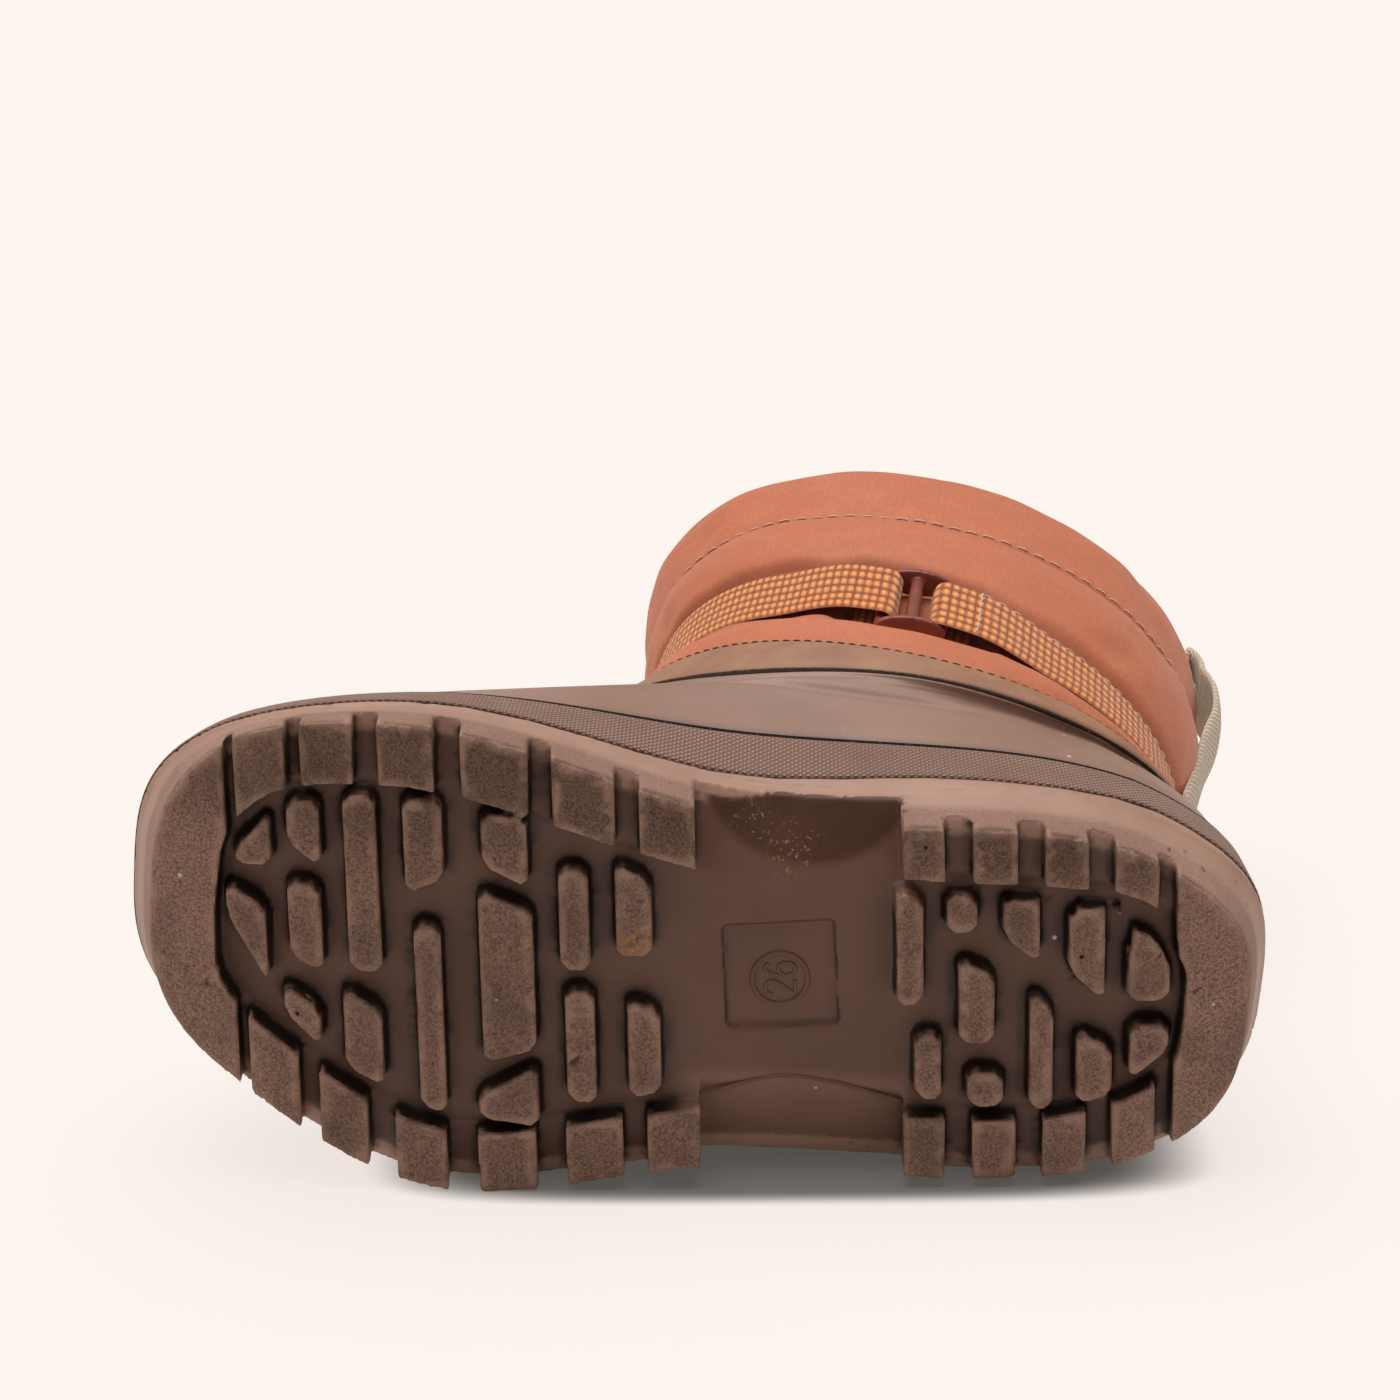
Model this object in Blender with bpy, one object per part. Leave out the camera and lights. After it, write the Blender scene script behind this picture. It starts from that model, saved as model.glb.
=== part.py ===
"""Child's winter boot, right foot, size 26, lying on its outer side.

The boot is worked out in its own frame in millimetres: x from the heel to the toe, y towards the
inner side of the foot, z up from the tread. One function gives the outer surface of the whole boot,
as closed sections from the tread to the collar. Every soft piece is cut out of that surface.
The finished pieces hang on an empty that lays the boot on the floor.
"""
import math
from typing import NamedTuple

import bmesh
import bpy
import numpy as np
from mathutils import Matrix, Vector

MM = 0.001
AROUND = 56
GAP = 0.3

# Sole
POCKET_DEPTH = 5.0
RIM_WIDTH = 10.5
GROOVE_DEPTH = 4.6
GROOVE_SLANT = 0.09
BAND_STEP = 0.6
CUP_WALL = 4.2
CUP_FLOOR = 11.5
SPRING_START = 128.0
SPRING_END = 188.0
SPRING_RISE = 9.0
HEEL_BEVEL_START = 15.0
HEEL_BEVEL_RISE = 2.5
ISLAND_DRAFT = 0.7
ISLAND_ROOT = 1.0
PANEL_CENTRE = (81.0, 0.8)
PANEL_SIZE = 19.6
PANEL_TURN = -7.0
PANEL_DEPTH = 1.0

# Upper, shaft and insole
SHELL_WALL = 2.2
SHELL_INSET = 1.0
SHAFT_WALL = 3.0
TRIM_THICKNESS = 1.3
INSOLE_THICKNESS = 3.5
INSOLE_CLEARANCE = 0.6

# Strap, buckle and pull loop
WEB_THICKNESS = 1.5
WEB_GAP = 0.4
STRAP_AT = 0.53
BAR_RADIUS = 1.1
BAR_OFFSET = 5.4
LOOP_TAIL = 8.0
LOOP_RAMP = 9.0
LOOP_CLEARANCE = 0.4
FLANGE_LENGTH = 13.0
FLANGE_CLEARANCE = 0.5
FLANGE_THICKNESS = 1.5
FLANGE_HEIGHT = 5.0
POST_RADIUS = 1.3
PULL_WIDTH = 14.0
PULL_BOW = 31.0

# How the boot lies: turned about its leg, leaned about its length
LIE_TURN = 4.307
LIE_LEAN = -2.976


class Foot(NamedTuple):
    """One section round the foot: its two end points and its half widths on each side."""
    back_x: float
    back_y: float
    back_z: float
    front_x: float
    front_y: float
    front_z: float
    med_heel: float
    med_waist: float
    med_ball: float
    med_toe: float
    lat_heel: float
    lat_waist: float
    lat_ball: float
    lat_toe: float
    roundness: float
    dip: float


class Leg(NamedTuple):
    """One section round the leg: its two end points, a half width on each side and roundness."""
    back_x: float
    back_z: float
    front_x: float
    front_z: float
    medial: float
    lateral: float
    roundness: float
    dip: float


class Groove(NamedTuple):
    """One cross groove between the edge lugs: where it crosses the axis, and its two widths."""
    at: float
    med_width: float
    lat_width: float


class Island(NamedTuple):
    """One raised block: its front and back lines, and where its four corners lie across the sole."""
    front: float
    back: float
    med_front: float
    med_back: float
    lat_front: float
    lat_back: float


class PullPoint(NamedTuple):
    """One point of the pull loop's path: height, and distance out from the back of the shaft."""
    height: float
    out: float


WIDTH_STATIONS = (0.12, 0.48, 0.76, 0.92)
FOOT_SECTIONS = {
    "tread": Foot(2, 0, 0, 187.5, 5.5, 0, 37.3, 28.5, 43, 49.5, 39.8, 36.5, 48.5, 43.5, 0.65, 0),
    "shoulder": Foot(0, 0, 7, 189.5, 5.5, 7, 38.3, 29.5, 43, 47, 40.4, 37, 48.5, 43, 0.65, 0),
    "line": Foot(-2, 0, 13, 191.5, 5, 13, 39.8, 30, 42, 44, 41.4, 38, 47.5, 42.5, 0.65, 0),
    "band_top": Foot(-1.5, 0, 31, 190, 5, 27, 38.8, 32.5, 38.5, 39.5, 40.2, 38, 44.5, 40.5, 0.65, 0),
    "low": Foot(0.5, 0, 38, 186, 5, 36, 38, 33, 35, 34.5, 39, 38, 42, 37, 0.63, 0),
    "crease": Foot(2, -0.5, 46, 178, 5.5, 46, 38, 34.5, 32, 32, 38.5, 37.5, 39.5, 35, 0.64, 0),
    "vamp": Foot(3, -1.5, 51, 161, 5.5, 56, 37.5, 35.5, 30, 29, 37.5, 37, 36.5, 32, 0.68, 4),
    "instep": Foot(3.5, -2, 54, 140, 5, 66, 37.5, 36.5, 30.5, 29, 37, 36.5, 35.5, 31, 0.76, 9),
    "trim_low": Foot(4, -2.5, 56, 122, 4.5, 76, 38, 37.5, 34, 32, 36.5, 36, 35.5, 32.5, 0.84, 14),
    "joint": Foot(4.5, -3, 59, 114, 4, 83, 38.5, 38, 37, 35.5, 36.5, 36, 35.5, 34.5, 0.88, 14.5),
}
LEG_BACK_Y = -3.5
LEG_FRONT_Y = 4.0
LEG_SECTIONS = {
    "trim_top": Leg(5, 62, 109, 90, 38.5, 35.5, 0.90, 15),
    "ankle": Leg(5.5, 64, 106.5, 97, 39.3, 35.5, 0.92, 13.5),
    "strap_low": Leg(5.5, 66, 104, 105, 39.3, 35.5, 0.93, 12),
    "strap_high": Leg(4.5, 83, 102.5, 124, 39.5, 36.5, 0.94, 6),
    "calf": Leg(0, 103, 102.5, 138, 41.3, 39, 0.95, 5),
    "seam": Leg(-3.5, 125, 102.5, 151, 40.3, 39.5, 0.95, 7),
    "collar": Leg(-4.5, 143, 103, 163, 41.5, 42, 0.95, 4),
    "top": Leg(-3, 154, 102, 170, 39.5, 40, 0.95, 3),
}

GROOVES = (
    Groove(172.4, 1.8, 1.8),
    Groove(161.4, 2.5, 3.6),
    Groove(149.3, 4.1, 4.7),
    Groove(135.7, 4.4, 5.4),
    Groove(120.5, 3.8, 5.3),
    Groove(106.2, 3.9, 4.2),
    Groove(51.0, 4.8, 4.5),
    Groove(38.9, 4.5, 4.6),
    Groove(27.1, 4.5, 4.2),
    Groove(16.0, 3.2, 2.9),
)
WAIST = Groove(77.7, 34.6, 34.6)

ISLANDS = (
    Island(172, 166, 17.5, 24.5, 15, 15.5),
    Island(163, 157.5, 27, 28, 20, 16.5),
    Island(153.5, 148, 29.5, 30, -1.5, -1.5),
    Island(143.5, 137, 30, 30.5, 13.5, 16.5),
    Island(130.5, 123, 28.5, 28.5, 19.5, 16),
    Island(174, 167.5, 11, 7.5, 5.5, -6),
    Island(163.5, 158, 13, 12.5, -0.5, -2.5),
    Island(142.5, 138, 7.5, 7.5, -25.5, -26.5),
    Island(131.5, 122.5, 14.5, 11.5, -16.5, -13.5),
    Island(118, 113, 19.5, 19.5, 1.5, 1.5),
    Island(108.5, 102.5, 21, 18, 4.5, 5),
    Island(165, 159, -6, -10, -11, -16.5),
    Island(155, 148.5, -5.5, -9, -19.5, -22.5),
    Island(132.5, 122.5, -23, -17, -27, -28),
    Island(117.5, 112.5, -2.5, -2.5, -22.5, -23),
    Island(107, 101.5, -3.5, -5.5, -21.5, -20),
    Island(61.5, 57, 19.5, 18, -1.5, -0.5),
    Island(53, 48, 19, 19, 12.5, 13),
    Island(43.5, 37.5, 20, 20.5, 12.5, 8),
    Island(32.5, 26.5, 20, 19.5, 7, 2),
    Island(22.5, 15.5, 18, 11, 2, 3),
    Island(51, 45, 7.5, 5, -7.5, -7),
    Island(39, 35, 2.5, -0.5, -19, -18.5),
    Island(58.5, 54, -7, -6.5, -18, -18.5),
    Island(49.5, 43.5, -13, -13, -19, -19),
    Island(31, 25, -4.5, -7, -17.5, -15.5),
    Island(22, 15.5, -2.5, -2, -12.5, -6.5),
)

PULL_PATH = (
    PullPoint(87.5, 0.0),
    PullPoint(98, 0.4),
    PullPoint(110, 2.4),
    PullPoint(124, 5.0),
    PullPoint(138, 7.0),
    PullPoint(150, 8.0),
    PullPoint(160, 8.0),
    PullPoint(166, 6.4),
    PullPoint(167.5, 4.2),
    PullPoint(164, 1.8),
    PullPoint(156, 0.4),
    PullPoint(146, 0.0),
)


def leg_row(leg: Leg) -> Foot:
    """Give a leg section the columns of a foot section."""
    widths = (leg.medial,) * 4 + (leg.lateral,) * 4
    ends = (leg.back_x, LEG_BACK_Y, leg.back_z, leg.front_x, LEG_FRONT_Y, leg.front_z)
    return Foot(*ends, *widths, leg.roundness, leg.dip)


SECTIONS = {**FOOT_SECTIONS, **{name: leg_row(leg) for name, leg in LEG_SECTIONS.items()}}
ROWS = np.array(list(SECTIONS.values()), dtype=float)
LEVEL = {name: float(number) for number, name in enumerate(SECTIONS)}


def hermite(knots: np.ndarray, values: np.ndarray, at: np.ndarray) -> np.ndarray:
    """Smooth curve through the values, level outside the first and last knots."""
    knots = np.asarray(knots, dtype=float)
    values = np.asarray(values, dtype=float)
    at = np.clip(at, knots[0], knots[-1])
    slopes = np.gradient(values, knots)
    left = np.clip(np.searchsorted(knots, at) - 1, 0, len(knots) - 2)
    width = knots[left + 1] - knots[left]
    f = (at - knots[left]) / width
    start = values[left] * (1 + 2 * f) * (1 - f) ** 2 + slopes[left] * width * f * (1 - f) ** 2
    end = values[left + 1] * f ** 2 * (3 - 2 * f) + slopes[left + 1] * width * f ** 2 * (f - 1)
    return start + end


def row_at(level: float) -> Foot:
    """Section row at a level, smooth between the rows of the table."""
    numbers = np.arange(len(ROWS), dtype=float)
    at = np.array([level])
    return Foot(*(float(hermite(numbers, column, at)[0]) for column in ROWS.T))


def angles(count: int = AROUND) -> np.ndarray:
    """Angles round a section: 0 at the back, a quarter turn on the inner side, half at the front."""
    return np.arange(count) * (2 * math.pi / count)


def lift(x: np.ndarray) -> np.ndarray:
    """Rise of the whole sole at the toe, and of its edge at the heel."""
    toe = np.clip((x - SPRING_START) / (SPRING_END - SPRING_START), 0, None)
    heel = np.clip((HEEL_BEVEL_START - x) / HEEL_BEVEL_START, 0, None)
    return SPRING_RISE * toe ** 2 + HEEL_BEVEL_RISE * heel ** 2


def flat_section(level: float, turn: np.ndarray) -> np.ndarray:
    """Section of the boot before the toe spring lifts it, at a level, at these angles."""
    row = row_at(level)
    along = (1 - np.cos(turn)) / 2
    across = np.sign(np.sin(turn)) * np.abs(np.sin(turn)) ** row.roundness
    medial = hermite(WIDTH_STATIONS, row[6:10], along)
    lateral = hermite(WIDTH_STATIONS, row[10:14], along)
    x = row.back_x + (row.front_x - row.back_x) * along
    y = row.back_y + (row.front_y - row.back_y) * along + np.where(across > 0, medial, lateral) * across
    z = row.back_z + (row.front_z - row.back_z) * along - row.dip * np.sin(turn) ** 2
    return np.column_stack((x, y, z))


def section(level: float, turn: np.ndarray) -> np.ndarray:
    """Outer surface of the boot at a level, at these angles."""
    points = flat_section(level, turn)
    points[:, 2] += lift(points[:, 0])
    return points


def normals(level: float, turn: np.ndarray) -> np.ndarray:
    """Unit normals that point out of the boot."""
    step = 0.02
    around = section(level, turn + step) - section(level, turn - step)
    top = min(level + step, len(ROWS) - 1)
    low = max(level - step, 0)
    upward = section(top, turn) - section(low, turn)
    out = np.cross(upward, around)
    return out / np.linalg.norm(out, axis=1, keepdims=True)


def shell(level: float, out: float, turn: np.ndarray) -> np.ndarray:
    """The boot's surface moved out by a distance, or in by a negative one."""
    return section(level, turn) + out * normals(level, turn)


def inset_flat(points: np.ndarray, inward: float) -> np.ndarray:
    """Move a level ring inward by a distance in its own plane."""
    ahead = np.roll(points, -1, axis=0) - np.roll(points, 1, axis=0)
    side = np.column_stack((ahead[:, 1], -ahead[:, 0], np.zeros(len(points))))
    side /= np.linalg.norm(side, axis=1, keepdims=True)
    return points + inward * side


def at_height(points: np.ndarray, height: float) -> np.ndarray:
    """The same ring at one height."""
    moved = points.copy()
    moved[:, 2] = height
    return moved


def mesh_from(bm: bmesh.types.BMesh, name: str) -> bpy.types.Mesh:
    """Close the working mesh into a Blender mesh in metres with its faces out."""
    bmesh.ops.recalc_face_normals(bm, faces=bm.faces[:])
    bmesh.ops.scale(bm, vec=(MM, MM, MM), verts=bm.verts[:])
    mesh = bpy.data.meshes.new(name)
    bm.to_mesh(mesh)
    bm.free()
    return mesh


def loft(rings: list, closed: bool = False) -> bmesh.types.BMesh:
    """Skin a row of rings. A closed loft joins the last ring to the first, an open one has end caps."""
    bm = bmesh.new()
    loops = [[bm.verts.new(point) for point in ring] for ring in rings]
    pairs = list(zip(loops, loops[1:]))
    if closed:
        pairs.append((loops[-1], loops[0]))
    for low, high in pairs:
        for i in range(len(low)):
            j = (i + 1) % len(low)
            bm.faces.new((low[i], low[j], high[j], high[i]))
    if not closed:
        bm.faces.new(loops[0])
        bm.faces.new(loops[-1])
    return bm


def material(name: str, colour: tuple, roughness: float) -> bpy.types.Material:
    """A plain Principled material."""
    made = bpy.data.materials.new(name)
    made.use_nodes = True
    shader = made.node_tree.nodes["Principled BSDF"]
    shader.inputs["Base Color"].default_value = (*colour, 1.0)
    shader.inputs["Roughness"].default_value = roughness
    shader.inputs["Metallic"].default_value = 0.0
    return made


def add_object(name: str, mesh: bpy.types.Mesh, look: bpy.types.Material) -> bpy.types.Object:
    """Link a mesh to the scene as a named piece."""
    piece = bpy.data.objects.new(name, mesh)
    bpy.context.scene.collection.objects.link(piece)
    if look is not None:
        mesh.materials.append(look)
    mesh.shade_smooth()
    mesh.set_sharp_from_angle(angle=math.radians(35))
    return piece


def add_cutter(name: str, bm: bmesh.types.BMesh) -> bpy.types.Object:
    """A hidden helper for a Boolean."""
    cutter = add_object(name, mesh_from(bm, name), None)
    cutter.hide_render = True
    cutter.display_type = "WIRE"
    return cutter


def settle_booleans(piece: bpy.types.Object, steps: list) -> None:
    """Run Booleans on a piece, keep the result as its mesh, and clear the helpers away."""
    for operation, helper in steps:
        change = piece.modifiers.new(helper.name, "BOOLEAN")
        change.operation = operation
        change.object = helper
    graph = bpy.context.evaluated_depsgraph_get()
    result = bpy.data.meshes.new_from_object(piece.evaluated_get(graph))
    piece.modifiers.clear()
    piece.data = result
    for _, helper in steps:
        bpy.data.objects.remove(helper)


def prism(outline: list, low: float, high: float, shrink: float = 0.0) -> list:
    """Two rings of an upright block whose upper ring is drawn in towards its middle."""
    base = np.array([(x, y, low) for x, y in outline])
    top = base.copy()
    top[:, 2] = high
    middle = top.mean(axis=0)
    reach = top[:, :2] - middle[:2]
    length = np.linalg.norm(reach, axis=1, keepdims=True)
    top[:, :2] = middle[:2] + reach * (1 - shrink / length)
    return [base, top]


def joined(lofts: list) -> bmesh.types.BMesh:
    """Put several separate blocks into one working mesh."""
    bm = bmesh.new()
    for part in lofts:
        mesh = bpy.data.meshes.new("part")
        part.to_mesh(mesh)
        part.free()
        bm.from_mesh(mesh)
        bpy.data.meshes.remove(mesh)
    return bm


def slanted(x: float, y: float) -> tuple:
    """A point on the sole from its place along the axis and across, with the slant of the grooves."""
    return (x + GROOVE_SLANT * y, y)


def groove_block(groove: Groove, profile: list) -> bmesh.types.BMesh:
    """A cutter across the sole: a depth profile swept over the width of the groove."""
    rings = []
    for side in (-0.5, 0.5):
        ring = []
        for y, z in profile:
            width = groove.med_width if y > 0 else groove.lat_width
            x, across = slanted(groove.at + side * width, y)
            ring.append((x, across, z))
        rings.append(np.array(ring))
    return loft(rings)


def groove_profile(depth: float, floor_half: float, side_rise: float) -> list:
    """Depth of a groove across the sole: level in the middle, shallower towards both sides."""
    reach = 62.0
    below = -6.0
    return [(-reach, below), (reach, below), (reach, depth + side_rise), (floor_half, depth),
            (-floor_half, depth), (-reach, depth + side_rise)]


def island_block(island: Island) -> bmesh.types.BMesh:
    """A raised block with cut corners that stands on the pocket floor and narrows to its face."""
    corners = [(island.front, island.med_front), (island.back, island.med_back),
               (island.back, island.lat_back), (island.front, island.lat_front)]
    outline = []
    for i, corner in enumerate(corners):
        here = np.array(corner)
        for other in (corners[i - 1], corners[(i + 1) % 4]):
            way = np.array(other) - here
            length = float(np.linalg.norm(way))
            outline.append(here + way / length * min(1.4, 0.3 * length))
    outline = [slanted(x, y) for x, y in outline]
    face, root = prism(outline, 0.0, POCKET_DEPTH + ISLAND_ROOT, -ISLAND_DRAFT)
    return loft([face, root])


def bend_sole(piece: bpy.types.Object) -> None:
    """Cut the flat sole across at the toe and heel, then lift it by the toe spring."""
    bm = bmesh.new()
    bm.from_mesh(piece.data)
    bmesh.ops.triangulate(bm, faces=bm.faces[:])
    for x in (5.0, 10.0, 15.0, 128.0, 140.0, 150.0, 159.0, 168.0, 177.0, 183.0):
        bmesh.ops.bisect_plane(bm, geom=bm.verts[:] + bm.edges[:] + bm.faces[:], dist=1e-6,
                               plane_co=(x * MM, 0, 0), plane_no=(1, 0, 0))
    for vert in bm.verts:
        vert.co.z += float(lift(np.array([vert.co.x / MM]))[0]) * MM
    bmesh.ops.triangulate(bm, faces=bm.faces[:])
    bm.to_mesh(piece.data)
    bm.free()


def build_outsole(look: bpy.types.Material) -> bpy.types.Object:
    """Cup sole: outer sections, cup, pocket, grooves, waist, raised blocks and size panel."""
    turn = angles()
    outer = [flat_section(LEVEL[name], turn) for name in ("tread", "shoulder", "line", "band_top")]
    band_foot = inset_flat(outer[2], -BAND_STEP) + np.array((0, 0, BAND_STEP))
    outer.insert(3, band_foot)
    rim = inset_flat(outer[-1], CUP_WALL)
    floor = at_height(inset_flat(outer[2], CUP_WALL + 1.0), CUP_FLOOR)
    sole = add_object("outsole", mesh_from(loft([*outer, rim, floor]), "outsole"), look)

    field = inset_flat(outer[0], RIM_WIDTH)
    pocket = loft([at_height(field, -4.0), at_height(inset_flat(field, 0.6), POCKET_DEPTH)])
    side_cuts = groove_profile(GROOVE_DEPTH, 30.0, 6.5)
    grooves = joined([groove_block(groove, side_cuts) for groove in GROOVES])
    waist = groove_block(WAIST, groove_profile(POCKET_DEPTH + 0.3, 19.0, 16.0))
    half = PANEL_SIZE / 2
    spin = Matrix.Rotation(math.radians(PANEL_TURN), 2)
    corners = [spin @ Vector((x, y)) for x, y in ((-half, -half), (half, -half), (half, half), (-half, half))]
    square = [(PANEL_CENTRE[0] + corner.x, PANEL_CENTRE[1] + corner.y) for corner in corners]
    panel = loft(prism(square, 0.0, POCKET_DEPTH + 0.3 + PANEL_DEPTH, 0.3))
    islands = joined([island_block(island) for island in ISLANDS])
    settle_booleans(sole, [("DIFFERENCE", add_cutter("pocket", pocket)),
                           ("DIFFERENCE", add_cutter("grooves", grooves)),
                           ("DIFFERENCE", add_cutter("waist", waist)),
                           ("DIFFERENCE", add_cutter("panel", panel)),
                           ("UNION", add_cutter("islands", islands))])
    bend_sole(sole)
    return sole


def build_insole(look: bpy.types.Material) -> bpy.types.Object:
    """Footbed that lies in the cup of the sole."""
    turn = angles()
    ring = inset_flat(flat_section(LEVEL["line"], turn), CUP_WALL + 1.0 + INSOLE_CLEARANCE)
    base = CUP_FLOOR + GAP
    rings = [at_height(ring, base), at_height(ring, base + INSOLE_THICKNESS - 0.8),
             at_height(inset_flat(ring, 0.8), base + INSOLE_THICKNESS)]
    piece = add_object("insole", mesh_from(loft(rings), "insole"), look)
    bend_sole(piece)
    return piece


def build_upper(look: bpy.types.Material) -> bpy.types.Object:
    """Rubber shell: one wall from the rim of the sole to the joint under the trim."""
    turn = angles()
    foot = inset_flat(section(LEVEL["band_top"], turn), SHELL_INSET) + np.array((0, 0, GAP))
    inner_foot = inset_flat(section(LEVEL["band_top"], turn), SHELL_INSET + SHELL_WALL)
    inner_foot += np.array((0, 0, GAP))
    levels = [4.0, 4.5, 5.0, 5.5, 6.0, 6.5, 7.0, 7.5, 8.0, 8.5, 9.0]
    outer = [shell(level, 0.0, turn) for level in levels]
    inner = [shell(level, -SHELL_WALL, turn) for level in levels[::2]]
    rings = [foot, *outer, *reversed(inner), inner_foot]
    return add_object("upper", mesh_from(loft(rings, closed=True), "upper"), look)


def build_trim(look: bpy.types.Material) -> bpy.types.Object:
    """Binding strip that covers the joint of shell and shaft."""
    turn = angles()
    levels = [LEVEL["trim_low"], LEVEL["trim_low"] + 0.5, LEVEL["joint"], LEVEL["trim_top"]]
    inner = [shell(level, GAP, turn) for level in levels]
    outer = [shell(level, GAP + TRIM_THICKNESS, turn) for level in levels]
    return add_object("trim", mesh_from(loft([*outer, *reversed(inner)], closed=True), "trim"), look)


def build_shaft(look: bpy.types.Material) -> bpy.types.Object:
    """Padded leg: one wall from the joint to the rounded collar."""
    turn = angles()
    start = LEVEL["joint"]
    above = np.array((0, 0, GAP))
    strap = [*np.linspace(LEVEL["strap_low"], LEVEL["strap_high"], 4)]
    levels = [start, 10.0, 11.0, *strap, 13.5, 14.0, 14.5, 15.0, 15.5, 16.0, 17.0]
    outer = [shell(level, 0.0, turn) for level in levels]
    inner = [shell(level, -SHAFT_WALL, turn) for level in levels[::2]]
    outer[0] += above
    inner[0] += above
    crown = shell(17.0, -SHAFT_WALL / 2, turn) + np.array((0, 0, 1.2))
    rings = [*outer, crown, shell(17.0, -SHAFT_WALL, turn), *reversed(inner)]
    return add_object("shaft", mesh_from(loft(rings, closed=True), "shaft"), look)


class StrapLine:
    """The strap's own measure on the leg: share of its width, distance along from the buckle, distance out."""

    def __init__(self) -> None:
        self.low = LEVEL["strap_low"]
        self.high = LEVEL["strap_high"]
        middle = (self.low + self.high) / 2
        start = math.acos(1 - 2 * STRAP_AT)
        self.turn = start + np.linspace(-0.5, 2 * math.pi + 0.5, 241)
        points = section(middle, self.turn)
        steps = np.linalg.norm(np.diff(points, axis=0), axis=1)
        run = np.concatenate(([0.0], np.cumsum(steps)))
        first, last = np.interp((start, start + 2 * math.pi), self.turn, run)
        self.run = run - first
        self.length = last - first
        at = np.array([start])
        ahead = section(middle, at + 0.01)[0] - section(middle, at - 0.01)[0]
        self.along = ahead / np.linalg.norm(ahead)
        up = section(self.high, at)[0] - section(self.low, at)[0]
        self.slip = -float(up @ self.along)
        across = up + self.slip * self.along
        self.across = across / np.linalg.norm(across)

    def point(self, share: float, distance: np.ndarray, out: np.ndarray) -> np.ndarray:
        """Points on the strap; the slip keeps its cross lines square to its run at the buckle."""
        level = self.low + share * (self.high - self.low)
        at = np.interp(distance + self.slip * (share - 0.5), self.run, self.turn)
        return section(level, at) + np.reshape(out, (-1, 1)) * normals(level, at)


def strap_path(total: float) -> list:
    """Middle line of the webbing as distance along the leg and distance out of it.

    Each end starts as a tail on the shaft, turns round its bar and comes back on top of the tail.
    """
    base = WEB_GAP + WEB_THICKNESS / 2
    radius = BAR_RADIUS + LOOP_CLEARANCE + WEB_THICKNESS / 2
    loop = [(BAR_OFFSET + LOOP_TAIL, base)]
    for step in range(7):
        turn = math.pi * step / 6
        loop.append((BAR_OFFSET - radius * math.sin(turn), base + radius - radius * math.cos(turn)))
    top = base + 2 * radius
    ramp = []
    for step in range(1, 6):
        f = step / 5
        ease = f * f * (3 - 2 * f)
        ramp.append((BAR_OFFSET + LOOP_TAIL + f * LOOP_RAMP, top + (base - top) * ease))
    front = [*loop, (BAR_OFFSET + LOOP_TAIL * 0.6, top), *ramp]
    first = ramp[-1][0]
    count = 44
    around = [(first + (total - 2 * first) * i / count, base) for i in range(1, count)]
    back = [(total - s, n) for s, n in reversed(front)]
    return front + around + back


def build_strap(look: bpy.types.Material, line: StrapLine) -> bpy.types.Object:
    """Webbing round the leg with a folded loop at each end."""
    path = np.array(strap_path(line.length))
    ahead = np.gradient(path, axis=0)
    ahead /= np.linalg.norm(ahead, axis=1, keepdims=True)
    side = np.column_stack((-ahead[:, 1], ahead[:, 0])) * WEB_THICKNESS / 2
    shares = np.linspace(0, 1, 4)
    over = [line.point(share, *(path + side).T) for share in shares]
    under = [line.point(share, *(path - side).T) for share in shares[::-1]]
    rings = list(np.stack([*over, *under], axis=1))
    return add_object("strap", mesh_from(loft(rings), "strap"), look)


def rod(start: np.ndarray, end: np.ndarray, radius: float, sides: int = 10) -> bmesh.types.BMesh:
    """A round bar that runs across the strap from one point to another."""
    turn = angles(sides)
    circle = np.column_stack((radius * np.cos(turn), np.zeros(sides), radius * np.sin(turn)))
    return loft([circle + start, circle + end])


def build_buckle(look: bpy.types.Material, line: StrapLine) -> bpy.types.Object:
    """Catch: two oval flanges, a post between the loops and a bar in each loop."""
    height = WEB_GAP + WEB_THICKNESS + LOOP_CLEARANCE + BAR_RADIUS
    spots = np.array((-BAR_OFFSET, 0.0, BAR_OFFSET))
    edges = [line.point(share, spots, np.full(3, height)) for share in (0.0, 1.0)]
    centre = (edges[0][1] + edges[1][1]) / 2
    frame = np.array((line.along, line.across, np.cross(line.along, line.across)))
    low, high = ((edge - centre) @ frame.T for edge in edges)
    bottom = low[:, 1].min() - FLANGE_CLEARANCE
    top = high[:, 1].max() + FLANGE_CLEARANCE
    turn = angles(20)
    oval = np.column_stack((np.cos(turn) * FLANGE_LENGTH / 2, np.zeros(20), np.sin(turn) * FLANGE_HEIGHT / 2))
    flanges = []
    for near, far in ((bottom, bottom - FLANGE_THICKNESS), (top, top + FLANGE_THICKNESS)):
        flanges.append(loft([oval + np.array((0, near, 0)), oval + np.array((0, far, 0))]))
    rods = []
    for start, end, radius in zip(low, high, (BAR_RADIUS, POST_RADIUS, BAR_RADIUS)):
        way = (end - start) / (end[1] - start[1])
        foot = start + way * (bottom - FLANGE_THICKNESS / 2 - start[1])
        head = start + way * (top + FLANGE_THICKNESS / 2 - start[1])
        rods.append(rod(foot, head, radius))
    piece = add_object("buckle", mesh_from(joined(flanges), "buckle"), look)
    settle_booleans(piece, [("UNION", add_cutter("rods", joined(rods)))])
    piece.matrix_world = Matrix.Translation(Vector(centre) * MM) @ Matrix(frame).transposed().to_4x4()
    return piece


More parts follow.
